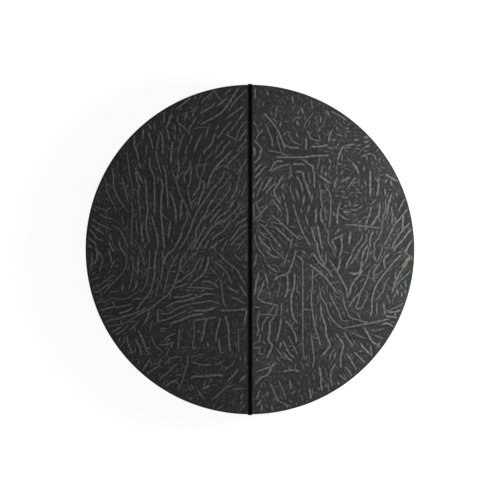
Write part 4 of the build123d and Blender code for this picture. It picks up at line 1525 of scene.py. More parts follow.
# ------------------------------------------------------------------ sides of the jacket
@dataclass
class JacketSides:
    """The side band round the rim and the end panel along the hinge, with their turn-ins."""

    half: Half
    sizes: CoverSizes
    tuck: float = 0.0183
    vinyl: float = 0.0013

    def build(self) -> list[bpy.types.Object]:
        """Makes both panels and the seams that join them."""
        wall = self.sizes.wall
        outline = HalfOutline(self.half, self.sizes.rim - wall, self.sizes.gap + wall, 0.0064)
        spots, ways = outline.points(0.009)
        on_band = np.abs(spots[:, 0]) > self.sizes.seam_x
        shift = int(np.argmin(on_band)) if on_band[0] else int(np.argmax(on_band))
        spots, ways, on_band = (np.roll(a, -shift, axis=0) for a in (spots, ways, on_band))
        band, end = (np.concatenate([spots[mask], ways[mask]], 1) for mask in (on_band, ~on_band))
        near, far = (band[-1:] + end[:1]) / 2, (end[-1:] + band[:1]) / 2
        made = []
        for name, rows in (("side_band", [far, band, near]), ("end_panel", [near, end, far])):
            joined = np.concatenate(rows)
            made.append(self._panel(name, joined[:, :2], unit(joined[:, 2:]), name == "side_band"))
        sewn = MeshPieces()
        facing = level(ways, 0.0)
        on_lip = self.sizes.top(spots[:, 0]) - self.sizes.lip + 0.004
        for out, z in ((wall, on_lip), (0.0, self.sizes.seat + 0.0075)):
            path = level(spots + ways * (out - 0.0001), z)
            sewn.stitches(np.concatenate([path, path[:1]]), np.concatenate([facing, facing[:1]]))
        threads = sewn.make(f"jacket_threads_{self.half.word}", THREAD)
        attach(threads, self.half.body)
        return [*made, threads]

    def _panel(self, name: str, spots: np.ndarray, ways: np.ndarray, band: bool) -> bpy.types.Object:
        """Makes one upright panel.

        Args:
            name: The CAD node's name without its half.
            spots: Plan points of its outer face.
            ways: Outward direction at each.
            band: Whether it is the rim's band, which turns in under the foam.

        Returns:
            The panel, riding on its half.
        """
        top = self.sizes.top(spots[:, 0]) - 0.0085
        seat = self.sizes.seat
        deep = np.where(np.abs(ways[:, 0] * self.half.value + 1) < 1e-6, 0.0016, self.tuck)
        if not band:
            deep = np.minimum(deep, np.where(ways[:, 0] * self.half.value > -0.2, self.tuck, 0.0018))
        faces, backs = [], []
        for share in np.linspace(0, 1, 13).tolist():
            z = top + (seat + 0.0035 - top) * share
            dent = self._dent(spots, z, share)
            faces.append(level(spots - ways * dent[:, None], z))
            backs.append(level(spots - ways * (dent + self.vinyl)[:, None], z))
        for turn in (30, 60, 90):
            a = math.radians(turn)
            inset, inner = 0.0030 * (1 - math.cos(a)), self.vinyl + 0.0017 * (1 - math.cos(a))
            faces.append(level(spots - ways * inset, seat + 0.0032 - 0.0030 * math.sin(a)))
            backs.append(level(spots - ways * inner, seat + 0.0032 - 0.0017 * math.sin(a)))
        for share in (0.35, 0.7, 1.0):
            inset = np.maximum(0.0031, deep * share)[:, None]
            faces.append(level(spots - ways * inset, seat + 0.0002))
            backs.append(level(spots - ways * (inset + 0.0002), seat + 0.0015))
        pieces = MeshPieces()
        pieces.slab(np.stack(faces), np.stack(backs))
        made = pieces.make(f"{name}_vinyl_{self.half.word}", SIDE_VINYL)
        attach(made, self.half.body)
        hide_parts(f"{name}_{self.half.word}")
        f"foam_core_{self.half.word}"
        LOG.info("%s: %d faces", made.name, len(made.data.polygons))
        return made

    def _dent(self, spots: np.ndarray, z: np.ndarray, share: float) -> np.ndarray:
        """How far the vinyl is drawn in: puckers at the seams, a soft hollow between them."""
        near_seam = max(abs(share - 0.5) * 2 - 0.45, 0) / 0.55
        rows = zip(spots.tolist(), np.broadcast_to(z, len(spots)).tolist())
        values = [
            0.0009 * near_seam * max(0.0, 0.25 + soft_noise(38 * x, 38 * y, 6 * h))
            + 0.0010 * max(0.0, 0.35 + soft_noise(5 * x, 5 * y, 9 * h + 3))
            for (x, y), h in rows
        ]
        return np.array(values)


@dataclass
class BottomPanel:
    """The thin vinyl under one half, with the zip's slot and holes for the drain eyelets."""

    half: Half
    sizes: CoverSizes
    face: float = 0.0132
    slot_half_width: float = 0.004
    eyelet: float = 0.0091
    grid: float = 0.03

    def build(self) -> list[bpy.types.Object]:
        """Makes the panel and the thread along its zip."""
        outline = HalfOutline(self.half, self.sizes.skirt - 0.0016, self.face, 0.006)
        ring, ways = outline.points(0.014)
        loops = [ring - ways * 0.001, self._slot_ring(), *self._eyelet_rings()]
        inner = self._grid_points(loops)
        spots, faces = filled(loops, inner)
        rim = sum(len(loop) for loop in loops)
        rise = np.array([self._rise(x, y) for x, y in spots.tolist()])
        rise[:rim] = 0.0001
        under = level(spots, self.sizes.seat + rise)
        over = under + (0, 0, 0.0012)
        pieces = MeshPieces()
        pieces.add(under, [tuple(reversed(face)) for face in self._upward(spots, faces)])
        pieces.add(over, self._upward(spots, faces))
        start = 0
        for loop in loops:
            bulge = (ways * 0.0008) if start == 0 else np.zeros((len(loop), 2))
            low, high = level(loop, self.sizes.seat + 0.0001), level(loop, self.sizes.seat + 0.0013)
            middle = level(loop + bulge, self.sizes.seat + 0.0007)
            pieces.grid(np.stack([low, middle, high]), closed_across=True)
            start += len(loop)
        made = pieces.make(f"bottom_vinyl_{self.half.word}", UNDERSIDE_VINYL)
        weld(made, 2e-5)
        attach(made, self.half.body)
        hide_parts(f"bottom_panel_{self.half.word}")
        rests = [f"foam_core_{self.half.word}"]
        LOG.info("%s: %d faces", made.name, len(made.data.polygons))
        return [made, self._zip_threads()]

    def _slot_ring(self) -> np.ndarray:
        """The slot's outline, rounded at both ends."""
        x, w, end = self.half.value * self.sizes.zip_line, self.slot_half_width, self.sizes.zip_length / 2
        rise = np.linspace(-end + w, end - w, 90)
        turn = np.linspace(0, math.pi, 9)[1:-1]
        right = np.column_stack([np.full(90, x + w), rise])
        top = np.column_stack([x + w * np.cos(turn), end - w + w * np.sin(turn)])
        left = np.column_stack([np.full(90, x - w), rise[::-1]])
        low = np.column_stack([x - w * np.cos(turn), -end + w - w * np.sin(turn)])
        return np.concatenate([right, top, left, low])

    def _eyelet_rings(self) -> list[np.ndarray]:
        """The outlines of the eyelets' holes, centred where the eyelets are."""
        turn = np.linspace(0, 2 * math.pi, 24, endpoint=False)
        circle = np.column_stack([np.cos(turn), np.sin(turn)]) * self.eyelet
        places = ((0.33, -0.56), (0.62, 0.0), (0.33, 0.56))
        return [circle + (self.half.value * x, y) for x, y in places]

    def _grid_points(self, loops: Sequence[np.ndarray]) -> np.ndarray:
        """A loose grid inside the outline that stays clear of every loop."""
        side = np.arange(-self.sizes.skirt, self.sizes.skirt, self.grid)
        inside = []
        borders = np.concatenate(loops)
        for x in (np.arange(0.03, self.sizes.skirt, self.grid) * self.half.value).tolist():
            for y in side.tolist():
                if math.hypot(x, y) > self.sizes.skirt - 0.02 or self._in_hole(x, y):
                    continue
                if np.min(np.abs(borders - (x, y)).sum(1)) > 0.012:
                    inside.append((x, y))
        return np.array(inside)

    def _in_hole(self, x: float, y: float) -> bool:
        """Whether a plan point lies in the slot."""
        across = abs(abs(x) - self.sizes.zip_line)
        return across < self.slot_half_width + 0.004 and abs(y) < self.sizes.zip_length / 2 + 0.004

    def _rise(self, x: float, y: float) -> float:
        """How far the slack vinyl lies above the seat at a plan point."""
        broad = 0.5 + 0.5 * soft_noise(7 * x, 7 * y, 0.3)
        crease = abs(soft_noise(4 * x + 2 * soft_noise(3 * x, 3 * y, 5.0), 9 * y, 8.0))
        return 0.0001 + 0.0006 * broad + 0.0008 * max(0.0, 0.18 - crease) / 0.18

    def _upward(self, spots: np.ndarray, faces: Sequence[tuple[int, ...]]) -> list[tuple[int, ...]]:
        """The faces, each turned so that it faces up."""
        turned = []
        for a, b, c in faces:
            (ax, ay), (bx, by), (cx, cy) = spots[a], spots[b], spots[c]
            turned.append((a, b, c) if (bx - ax) * (cy - ay) > (by - ay) * (cx - ax) else (a, c, b))
        return turned

    def _zip_threads(self) -> bpy.types.Object:
        """Two rows of stitches on each side of the slot."""
        sewn = MeshPieces()
        y = np.linspace(-self.sizes.zip_length / 2 + 0.004, self.sizes.zip_length / 2 - 0.004, 120)
        for offset in (-0.012, -0.0065, 0.0065, 0.012):
            x = self.half.value * self.sizes.zip_line + offset
            path = np.column_stack([np.full(120, x), y, np.full(120, self.sizes.seat + 0.0002)])
            sewn.stitches(path, np.tile([0.0, 0, -1], (120, 1)))
        threads = sewn.make(f"zip_threads_{self.half.word}", THREAD)
        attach(threads, self.half.body)
        return threads


@dataclass
class FilmWrap:
    """The milky film that seals one foam core against steam, slack over the core."""

    half: Half
    sizes: CoverSizes
    inset: float = 0.0033
    floor: float = 0.1238
    edge: tuple[Point2, ...] = (
        (0, 0.003), (0.03, 0.0008), (0.1, 0.0), (0.5, 0.0), (0.9, 0.0), (0.97, 0.0008), (1, 0.003),
    )

    def build(self) -> list[bpy.types.Object]:
        """Makes the film as one closed wrap."""
        outline = HalfOutline(self.half, self.sizes.rim - self.inset, self.sizes.gap + self.inset, 0.0046)
        ring, ways = outline.points(0.03)
        side = np.arange(-self.sizes.rim, self.sizes.rim, 0.06)
        across = np.arange(0.05, 1.0, 0.06) * self.half.value
        flat = [(x, y) for x in across for y in side if math.hypot(x, y) < 0.99]
        spots, faces = filled([ring - ways * 0.003], np.array(flat))
        lift = np.array([0.0002 * soft_noise(20 * x, 20 * y) for x, y in spots.tolist()])
        pieces = MeshPieces()
        pieces.add(level(spots, self.sizes.top(spots[:, 0]) - self.inset + lift), faces)
        pieces.add(level(spots, self.floor), faces)
        rows = []
        for share, inset in self.edge:
            at = ring - ways * inset
            rows.append(level(at, (self.sizes.top(at[:, 0]) - self.inset) * (1 - share) + self.floor * share))
        pieces.grid(np.stack(rows), closed_across=True)
        made = pieces.make(f"film_wrap_{self.half.word}", FILM)
        weld(made, 1e-5)
        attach(made, self.half.body)
        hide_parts(f"vapour_film_{self.half.word}")
        rests = [f"foam_core_{self.half.word}"]
        return [made]


# ------------------------------------------------------------------ skirt
@dataclass
class Skirt:
    """The hanging skirt of one half, cut into panels, with a woven binding along each hem."""

    half: Half
    sizes: CoverSizes
    swing: float = 0.0050
    hem: float = 0.014
    columns: int = 66

    def build(self) -> list[bpy.types.Object]:
        """Makes the panels, their hems and the hem's thread."""
        radius = self.sizes.skirt
        first = -math.acos(self.sizes.skirt_start / radius)
        pitch = -2 * first / self.sizes.skirt_panels
        slit = self.sizes.slit / 2 / radius
        cloth, binding, sewn = MeshPieces(), MeshPieces(), MeshPieces()
        for index in range(self.sizes.skirt_panels):
            start = first + index * pitch
            turns = np.linspace(start + slit, first + (index + 1) * pitch - slit, self.columns)
            if self.half is Half.LEFT:
                turns = math.pi - turns[::-1]
            self._panel(cloth, turns)
            self._hem(binding, turns)
            path = self._curve(turns, self.hem - 0.0035, 0.0013)
            facing = level(np.column_stack([np.cos(turns), np.sin(turns)]), 0.0)
            sewn.stitches(path[1:-1], facing[1:-1])
            inner = self._curve(turns, self.hem - 0.0035, -0.0028)
            sewn.stitches(inner[1:-1], -facing[1:-1])
        skirt = cloth.make(f"skirt_panels_{self.half.word}", SIDE_VINYL)
        hems = binding.make(f"hem_binding_{self.half.word}", BINDING)
        threads = sewn.make(f"hem_threads_{self.half.word}", THREAD)
        for piece in (skirt, hems, threads):
            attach(piece, self.half.body)
        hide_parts(f"skirt_{self.half.word}")
        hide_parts(f"skirt_hem_{self.half.word}")
        rests = [f"side_band_vinyl_{self.half.word}"]
        LOG.info("%s: %d faces", skirt.name, len(skirt.data.polygons))
        return [skirt, hems, threads]

    def _draw_in(self, turn: float, z: float) -> float:
        """How far the cloth hangs inside its cylinder: more towards the hem, in slow folds."""
        low = max(0.0, (self.sizes.seat - z) / self.sizes.seat)
        x, y = math.cos(turn), math.sin(turn)
        wave = 0.5 + 0.5 * math.sin(turn * 31 + 2.5 * soft_noise(2 * x, 2 * y, 4.2))
        slow = 0.5 + 0.6 * soft_noise(3.2 * x, 3.2 * y, 1.1)
        fine = 0.0005 * max(0.0, soft_noise(24 * x, 24 * y, 10 * z))
        tucks = 0.5 + 0.5 * math.sin(turn * 210 + 3 * soft_noise(9 * x, 9 * y))
        gather = 0.0006 * max(0.0, 1 - low * 6) * tucks
        return self.swing * low**1.4 * max(0.0, min(1.0, 0.6 * wave + 0.4 * slow)) + fine + gather

    def _curve(self, turns: np.ndarray, z: float, out: float) -> np.ndarray:
        """Points at one height, out from the cylinder by out."""
        radii = np.array([self.sizes.skirt + out - self._draw_in(t, z) for t in turns.tolist()])
        return level(np.column_stack([radii * np.cos(turns), radii * np.sin(turns)]), z)

    def _panel(self, cloth: MeshPieces, turns: np.ndarray) -> None:
        """Adds one panel of cloth."""
        heights = np.linspace(self.sizes.seat + 0.0012, 0.0014, 15)
        face = np.stack([self._curve(turns, z, 0.0) for z in heights.tolist()])
        back = np.stack([self._curve(turns, z, -0.0012) for z in heights.tolist()])
        cloth.slab(face, back)
        if abs(math.cos(turns[-1])) > 0.05:
            under = np.linspace(turns[-1] - 0.010, turns[-1] + 0.013, 5)
            face = np.stack([self._curve(under, z, -0.0016) for z in heights[:-1].tolist()])
            back = np.stack([self._curve(under, z, -0.0027) for z in heights[:-1].tolist()])
            cloth.slab(face, back)

    def _hem(self, binding: MeshPieces, turns: np.ndarray) -> None:
        """Adds the binding that is folded round one panel's hem."""
        fold = (
            (0.0002, self.hem), (0.0009, self.hem - 0.0006), (0.0011, self.hem - 0.002),
            (0.0010, 0.0080), (0.0011, 0.0022), (0.0009, 0.0008), (0.0002, 0.0002), (-0.0006, 0.0001),
            (-0.0016, 0.0002), (-0.0023, 0.0008), (-0.0025, 0.0022), (-0.0024, 0.0080),
            (-0.0025, self.hem - 0.002), (-0.0023, self.hem - 0.0006), (-0.0014, self.hem),
        )
        rows = np.stack([self._curve(turns, max(z, 0.0001), out) for out, z in fold])
        across = np.concatenate([[0], np.cumsum([math.dist(a, b) for a, b in zip(fold, fold[1:])])])
        along = (turns - turns[0]) * self.sizes.skirt
        marks = np.zeros((*rows.shape[:2], 3))
        marks[..., 0], marks[..., 1] = across[:, None], along[None, :]
        base = binding.count
        binding.grid(rows, measure=marks)
        high, wide = rows.shape[:2]
        binding.faces.append(tuple(base + r * wide for r in range(high)))
        binding.faces.append(tuple(base + r * wide + wide - 1 for r in reversed(range(high))))


# ------------------------------------------------------------------ zips
@dataclass
class Zip:
    """The zip under one half: two woven tapes and two rows of teeth."""

    half: Half
    sizes: CoverSizes
    pitch: float = 0.0030
    gap: float = 0.0008
    tape: float = 0.015

    def build(self) -> list[bpy.types.Object]:
        """Makes the tapes and the teeth."""
        line = self.half.value * self.sizes.zip_line
        low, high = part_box(f"zip_tapes_{self.half.word}")
        coil_low, coil_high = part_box(f"zip_coils_{self.half.word}")
        y = np.linspace(low.y, high.y, 60)
        tapes, teeth = MeshPieces(), MeshPieces()
        middle = (low.z + high.z) / 2
        for side in (-1, 1):
            x = line + side * (self.gap + self.tape / 2)
            path = np.column_stack([np.full(60, x), y, np.full(60, middle)])
            tapes.ribbon(path, np.tile([1.0, 0, 0], (60, 1)), np.full(60, self.tape), high.z - low.z)
            at = np.arange(low.y + 0.002 + (side + 1) * self.pitch / 4, high.y - 0.002, self.pitch)
            across = np.full(len(at), line + side * (self.gap + 0.001))
            middles = level(np.column_stack([across, at]), (coil_low.z + coil_high.z) / 2)
            ones = np.ones((len(at), 1))
            long, thick = ones * (0.0021, 0.0004 * side, 0), 0.00078
            teeth.beads(middles, long, ones * (0, thick, 0), ones * (0, 0, thick))
        made_tapes = tapes.make(f"zip_tape_pair_{self.half.word}", ZIP_TAPE)
        made_teeth = teeth.make(f"zip_teeth_{self.half.word}", ZIP_TEETH)
        for piece, node in ((made_tapes, "zip_tapes"), (made_teeth, "zip_coils")):
            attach(piece, self.half.body)
            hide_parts(f"{node}_{self.half.word}")
        LOG.info("%s: %d faces", made_teeth.name, len(made_teeth.data.polygons))
        return [made_tapes, made_teeth]


# ------------------------------------------------------------------ straps and handles
STRAP_ANGLES = (36.0, 34.0)
HANDLE_ANGLE = 74.0
HANDLE_REACH = 0.060
WEBBING_WIDTH = 0.025
WEBBING_THICK = 0.0015
SHORT_STITCH = (0.0031, 0.0024)


@dataclass(frozen=True)
class RimPlace:
    """A place on the rim, where pieces are laid out by out, along and height."""

    bearing: float
    skirt: float

    def at(self, out: float, along: float, z: float) -> tuple[float, float, float]:
        """A point out from the skirt, along the rim and at a height."""
        c, s = math.cos(self.bearing), math.sin(self.bearing)
        return (self.skirt + out) * c - along * s, (self.skirt + out) * s + along * c, z

    def path(self, rows: Iterable[tuple[float, float, float]]) -> np.ndarray:
        """Many such points."""
        return np.array([self.at(*row) for row in rows])

    @property
    def outward(self) -> np.ndarray:
        """The direction away from the cover."""
        return np.array([math.cos(self.bearing), math.sin(self.bearing), 0.0])

    @property
    def sideways(self) -> np.ndarray:
        """The direction along the rim, anticlockwise."""
        return np.array([-math.sin(self.bearing), math.cos(self.bearing), 0.0])


def eased(corners: Sequence[Point2], radius: float, steps: int = 7) -> list[Point2]:
    """A webbing's line with its bends rounded.

    Args:
        corners: The line's ends and the corners between them.
        radius: How far from each corner its bend begins, at most.
        steps: Points in each bend.

    Returns:
        The points of the rounded line, with points every few millimetres on its straights.
    """
    line = [corners[0]]
    for before, here, after in zip(corners, corners[1:], corners[2:]):
        ways = [(np.array(p) - here) / math.dist(p, here) for p in (before, after)]
        reach = [min(radius, math.dist(p, here) / 2) for p in (before, after)]
        start, end = np.array(here) + ways[0] * reach[0], np.array(here) + ways[1] * reach[1]
        for share in np.linspace(0, 1, steps).tolist():
            spot = (1 - share) ** 2 * start + 2 * share * (1 - share) * np.array(here) + share**2 * end
            line.append((float(spot[0]), float(spot[1])))
    line.append(corners[-1])
    dense = [line[0]]
    for a, b in zip(line, line[1:]):
        parts = max(1, int(math.dist(a, b) / 0.003))
        across, along = b[0] - a[0], b[1] - a[1]
        dense += [(a[0] + across * k / parts, a[1] + along * k / parts) for k in range(1, parts + 1)]
    return dense


@dataclass
class SewnEnds:
    """The flat ends of the webbing, box-stitched under the rim of one half."""

    half: Half
    sizes: CoverSizes

    def build(self) -> list[bpy.types.Object]:
        """Makes the ends of the straps and of the handles, and their stitching."""
        straps, handles, sewn = MeshPieces(), MeshPieces(), MeshPieces()
        for quarter in Quarter:
            if quarter.half is not self.half:
                continue
            self._end(straps, sewn, RimPlace(quarter.bearing(quarter.strap_angle), self.sizes.skirt), 0.0)
            place = RimPlace(quarter.bearing(HANDLE_ANGLE), self.sizes.skirt)
            for side in (-1, 1):
                self._end(handles, sewn, place, side * HANDLE_REACH)
        made = [
            straps.make(f"strap_seams_{self.half.word}", WEBBING),
            handles.make(f"handle_seams_{self.half.word}", WEBBING),
            sewn.make(f"webbing_threads_{self.half.word}", THREAD),
        ]
        for piece in made:
            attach(piece, self.half.body)
        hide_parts(f"strap_ends_{self.half.word}")
        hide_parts(f"handle_ends_{self.half.word}")
        return made

    def _end(self, webbing: MeshPieces, sewn: MeshPieces, place: RimPlace, along: float) -> None:
        """Adds one sewn end with a boxed cross of stitches.

        Args:
            webbing: Where the webbing goes.
            sewn: Where the thread goes.
            place: The strap's place on the rim.
            along: Distance along the rim from that place.
        """
        z = self.sizes.seat - 0.0009
        outs = np.linspace(0.0031, 0.0159, 7)
        path = place.path((o, along, z + (0.0004 if o > 0.014 else 0.0)) for o in outs.tolist())
        webbing.ribbon(path, np.tile(place.sideways, (7, 1)), np.full(7, WEBBING_WIDTH), WEBBING_THICK)
        near, far, wide, low = 0.0045, 0.0145, 0.0100, z - 0.0008
        box = [(near, -wide), (far, -wide), (far, wide), (near, wide), (near, -wide), (far, wide)]
        for a, b in [*zip(box, box[1:]), ((far, -wide), (near, wide))]:
            way = (b[0] - a[0], b[1] - a[1])
            line = [(a[0] + way[0] * t, along + a[1] + way[1] * t, low) for t in (0.0, 0.5, 1.0)]
            sewn.stitches(place.path(line), np.tile([0.0, 0, -1], (3, 1)), *SHORT_STITCH)


@dataclass
class LockStrap:
    """One strap of webbing that hangs from the rim and is folded round its clip's bar."""

    quarter: Quarter
    sizes: CoverSizes
    front: float = 0.0093
    back: float = 0.0013
    fold: float = 0.0928
    tail: float = 0.1118

    def build(self) -> list[bpy.types.Object]:
        """Makes the strap, bending under the rim, with the folded hem of its tail."""
        place = RimPlace(self.quarter.bearing(self.quarter.strap_angle), self.sizes.skirt)
        top = self.sizes.seat - 0.0018
        corners = [(self.front, top), (self.front, self.fold), (self.back, self.fold), (self.back, self.tail)]
        line = eased(corners, 0.0036)
        path = place.path((out, 0.0, z) for out, z in line)
        pieces = MeshPieces()
        sideways, width = np.tile(place.sideways, (len(path), 1)), np.full(len(path), WEBBING_WIDTH)
        pieces.ribbon(path, sideways, width, WEBBING_THICK)
        made = pieces.make(f"lock_webbing_{self.quarter.word}", WEBBING)
        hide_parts(f"strap_webbing_{self.quarter.word}")
        self.quarter.half.body
        f"lock_strap_{self.quarter.word}"
        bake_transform(made)
        sewn = MeshPieces()
        across = np.linspace(-WEBBING_WIDTH / 2 + 0.0012, WEBBING_WIDTH / 2 - 0.0012, 6)
        for z in (self.tail - 0.0022, self.tail - 0.0052):
            seam = place.path((self.back + 0.00075, a, z) for a in across.tolist())
            sewn.stitches(seam, np.tile(place.outward, (6, 1)), *SHORT_STITCH)
        threads = sewn.make(f"lock_webbing_threads_{self.quarter.word}", THREAD)
        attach(threads, f"lock_strap_{self.quarter.word}")
        LOG.info("%s: %d faces", made.name, len(made.data.polygons))
        return [made, threads]


@dataclass
class CarryHandle:
    """A loop of webbing beside the end of the hinge, with a padded grip round its foot."""

    quarter: Quarter
    sizes: CoverSizes
    out: float = 0.0040
    foot: float = 0.050
    held: float = 0.020
    grip_size: tuple[float, float, float] = (0.0916, 0.0100, 0.0238)
    grip_out: float = 0.0057

    def build(self) -> list[bpy.types.Object]:
        """Makes the loop, its grip and the grip's seam."""
        place = RimPlace(self.quarter.bearing(HANDLE_ANGLE), self.sizes.skirt)
        top, reach = self.sizes.seat - 0.0018, HANDLE_REACH
        loop = eased([(-reach, top), (-reach, self.foot), (reach, self.foot), (reach, top)], 0.026, 14)
        path = place.path((self.out, along, z) for along, z in loop)
        ahead = unit(np.gradient(path, axis=0))
        side = unit(np.cross(ahead, place.outward))
        share = np.clip((path[:, 2] - self.foot) / 0.03, 0, 1)
        width = self.held + (WEBBING_WIDTH - self.held) * share
        pieces = MeshPieces()
        pieces.ribbon(path, side, width, WEBBING_THICK)
        made = pieces.make(f"carry_loop_{self.quarter.word}", WEBBING)
        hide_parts(f"handle_webbing_{self.quarter.word}")
        self.quarter.half.body
        f"handle_{self.quarter.word}"
        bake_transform(made)
        grip = self._grip(place)
        seam = MeshPieces()
        runs = np.linspace(-0.036, 0.036, 20)
        path = place.path((self.grip_out + 0.0051, a, self.foot - 0.0072) for a in runs.tolist())
        seam.stitches(path, np.tile(place.outward, (20, 1)), 0.0042, 0.0032)
        threads = seam.make(f"grip_threads_{self.quarter.word}", THREAD)
        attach(threads, f"handle_{self.quarter.word}")
        LOG.info("%s: %d faces", grip.name, len(grip.data.polygons))
        return [made, grip, threads]

    def _grip(self, place: RimPlace) -> bpy.types.Object:
        """The padded grip, swollen once and laid out at this quarter."""
        shape = PaddedGrip(self.grip_size).mesh()
        mesh = shape.copy()
        grip = bpy.data.objects.new(f"padded_grip_{self.quarter.word}", mesh)
        bpy.context.scene.collection.objects.link(grip)
        middle = Vector(place.at(self.grip_out, 0.0, self.foot))
        for vertex in mesh.vertices:
            along, out, up = vertex.co
            aside = Vector(place.sideways) * along + Vector(place.outward) * out
            vertex.co = middle + aside + Vector((0, 0, up))
        mesh.materials.clear()
        mesh.materials.append(GRIP_VINYL.material())
        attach(grip, f"handle_{self.quarter.word}")
        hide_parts(f"handle_grip_{self.quarter.word}")
        return grip


@dataclass(frozen=True)
class PaddedGrip:
    """A stuffed vinyl tube, swollen by a cloth simulation and held inside its space."""

    size: tuple[float, float, float]
    frames: int = 20
    most: float = 0.0016

    def mesh(self) -> bpy.types.Mesh:
        """The grip's mesh about its own middle, simulated the first time that it is asked for."""
        found = bpy.data.meshes.get("padded_grip_shape")
        if found:
            return found
        shape = self._start()
        self._swell(shape)
        self._seam(shape.data)
        shape.data.name = "padded_grip_shape"
        mesh = shape.data
        mesh.use_fake_user = True
        bpy.data.objects.remove(shape)
        return mesh

    def _start(self) -> bpy.types.Object:
        """A slightly thinner tube with rounded ends, remeshed evenly."""
        long, deep, high = (side / 2 for side in self.size)
        around, rings = 28, 41
        turns = np.linspace(0, 2 * math.pi, around, endpoint=False)
        rows = []
        for share in np.linspace(-1, 1, rings).tolist():
            end = math.sqrt(max(0.0, 1 - max(0.0, (abs(share) - 0.93) / 0.07) ** 2)) * 0.45 + 0.55
            y = np.sign(np.cos(turns)) * np.abs(np.cos(turns)) ** 0.8 * deep * 0.78 * end
            z = np.sign(np.sin(turns)) * np.abs(np.sin(turns)) ** 0.6 * high * 0.9 * end
            rows.append(np.column_stack([np.full(around, share * long * 0.985), y, z]))
        pieces = MeshPieces()
        pieces.grid(np.stack(rows), closed_across=True)
        last = (rings - 1) * around
        pieces.faces += [tuple(reversed(range(around))), tuple(last + i for i in range(around))]
        made = pieces.make("grip_start", GRIP_VINYL)
        remesh = made.modifiers.new("even", "REMESH")
        remesh.mode = "VOXEL"
        remesh.voxel_size = 0.0022
        graph = bpy.context.evaluated_depsgraph_get()
        made.data = bpy.data.meshes.new_from_object(made.evaluated_get(graph))
        made.modifiers.clear()
        return made

    def _swell(self, shape: bpy.types.Object) -> None:
        """Blows the tube up as cloth, then keeps it inside its space."""
        rest = np.array([v.co for v in shape.data.vertices])
        cloth = shape.modifiers.new("swell", "CLOTH")
        cloth.settings.use_pressure = True
        cloth.settings.uniform_pressure_force = 4.0
        cloth.settings.effector_weights.gravity = 0.0
        cloth.settings.quality = 5
        scene = bpy.context.scene
        scene.frame_start, scene.frame_end = 1, self.frames
        for number in range(1, self.frames + 1):
            scene.frame_set(number)
        graph = bpy.context.evaluated_depsgraph_get()
        swollen = bpy.data.meshes.new_from_object(shape.evaluated_get(graph))
        moved = np.array([v.co for v in swollen.vertices]) - rest
        far = np.linalg.norm(moved, axis=1, keepdims=True)
        capped = rest + moved * np.minimum(1, self.most / np.maximum(far, 1e-9))
        scene.frame_set(1)
        shape.modifiers.clear()
        for vertex, spot in zip(shape.data.vertices, capped.tolist()):
            vertex.co = spot

    def _seam(self, mesh: bpy.types.Mesh) -> None:
        """Fits the tube to its space and presses in its seam and the folds beside it."""
        long, deep, high = (side / 2 for side in self.size)
        spots = np.array([v.co for v in mesh.vertices])
        span = np.abs(spots).max(0)
        spots *= np.minimum(1.0, np.array([long, deep, high]) / span)
        for vertex, (x, y, z) in zip(mesh.vertices, spots.tolist()):
            press = math.exp(-(((z + 0.0072) / 0.0016) ** 2)) * (1 if y > 0 else 0)
            ring = math.exp(-(((abs(x) - long + 0.006) / 0.0012) ** 2))
            wrinkle = 0.00022 * soft_noise(260 * x, 120 * z, 3.3 if y > 0 else 8.1)
            inward = 0.0007 * press + 0.0006 * ring - wrinkle
            vertex.co = (x, y * (1 - inward / deep * 0.9), z * (1 - 0.5 * inward / high))
        for face in mesh.polygons:
            face.use_smooth = True


# ------------------------------------------------------------------ hard parts
@dataclass(frozen=True)
class HardPart:
    """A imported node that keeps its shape, with its finish and softened edges."""

    node: str
    finish: Finish
    bevel: float = 0.0004

    def dress(self) -> bpy.types.Object:
        """Gives the node its material and a fine rounding along its sharp edges."""
        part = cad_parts[self.node]
        part.data.materials.clear()
        part.data.materials.append(self.finish.material())
        if self.bevel:
            join = part.modifiers.new("join", "WELD")
            join.merge_threshold = 0.00001
            soften = part.modifiers.new("soften", "BEVEL")
            soften.width = self.bevel
            soften.segments = 2
            soften.limit_method = "ANGLE"
            soften.angle_limit = math.radians(40)
            soften.harden_normals = True
        return part


def hard_parts() -> list[HardPart]:
    """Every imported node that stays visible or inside, with its finish."""
    parts = [HardPart("hinge_seal_core", FOAM, 0.0)]
    for half in Half:
        parts += [
            HardPart(f"drain_eyelets_{half.word}", STAINLESS, 0.00025),
            HardPart(f"zip_slider_{half.word}", BLACKENED, 0.0002),
            HardPart(f"zip_pull_{half.word}", BLACKENED, 0.0002),
            HardPart(f"steel_channel_{half.word}", ZINC, 0.0),
            HardPart(f"foam_core_{half.word}", FOAM, 0.0),
        ]
    for quarter in Quarter:
        parts += [
            HardPart(f"strap_clip_{quarter.word}", PLASTIC, 0.0005),
            HardPart(f"lock_housing_{quarter.word}", PLASTIC, 0.0004),
            HardPart(f"lock_barrel_{quarter.word}", NICKEL, 0.0002),
        ]
    return parts


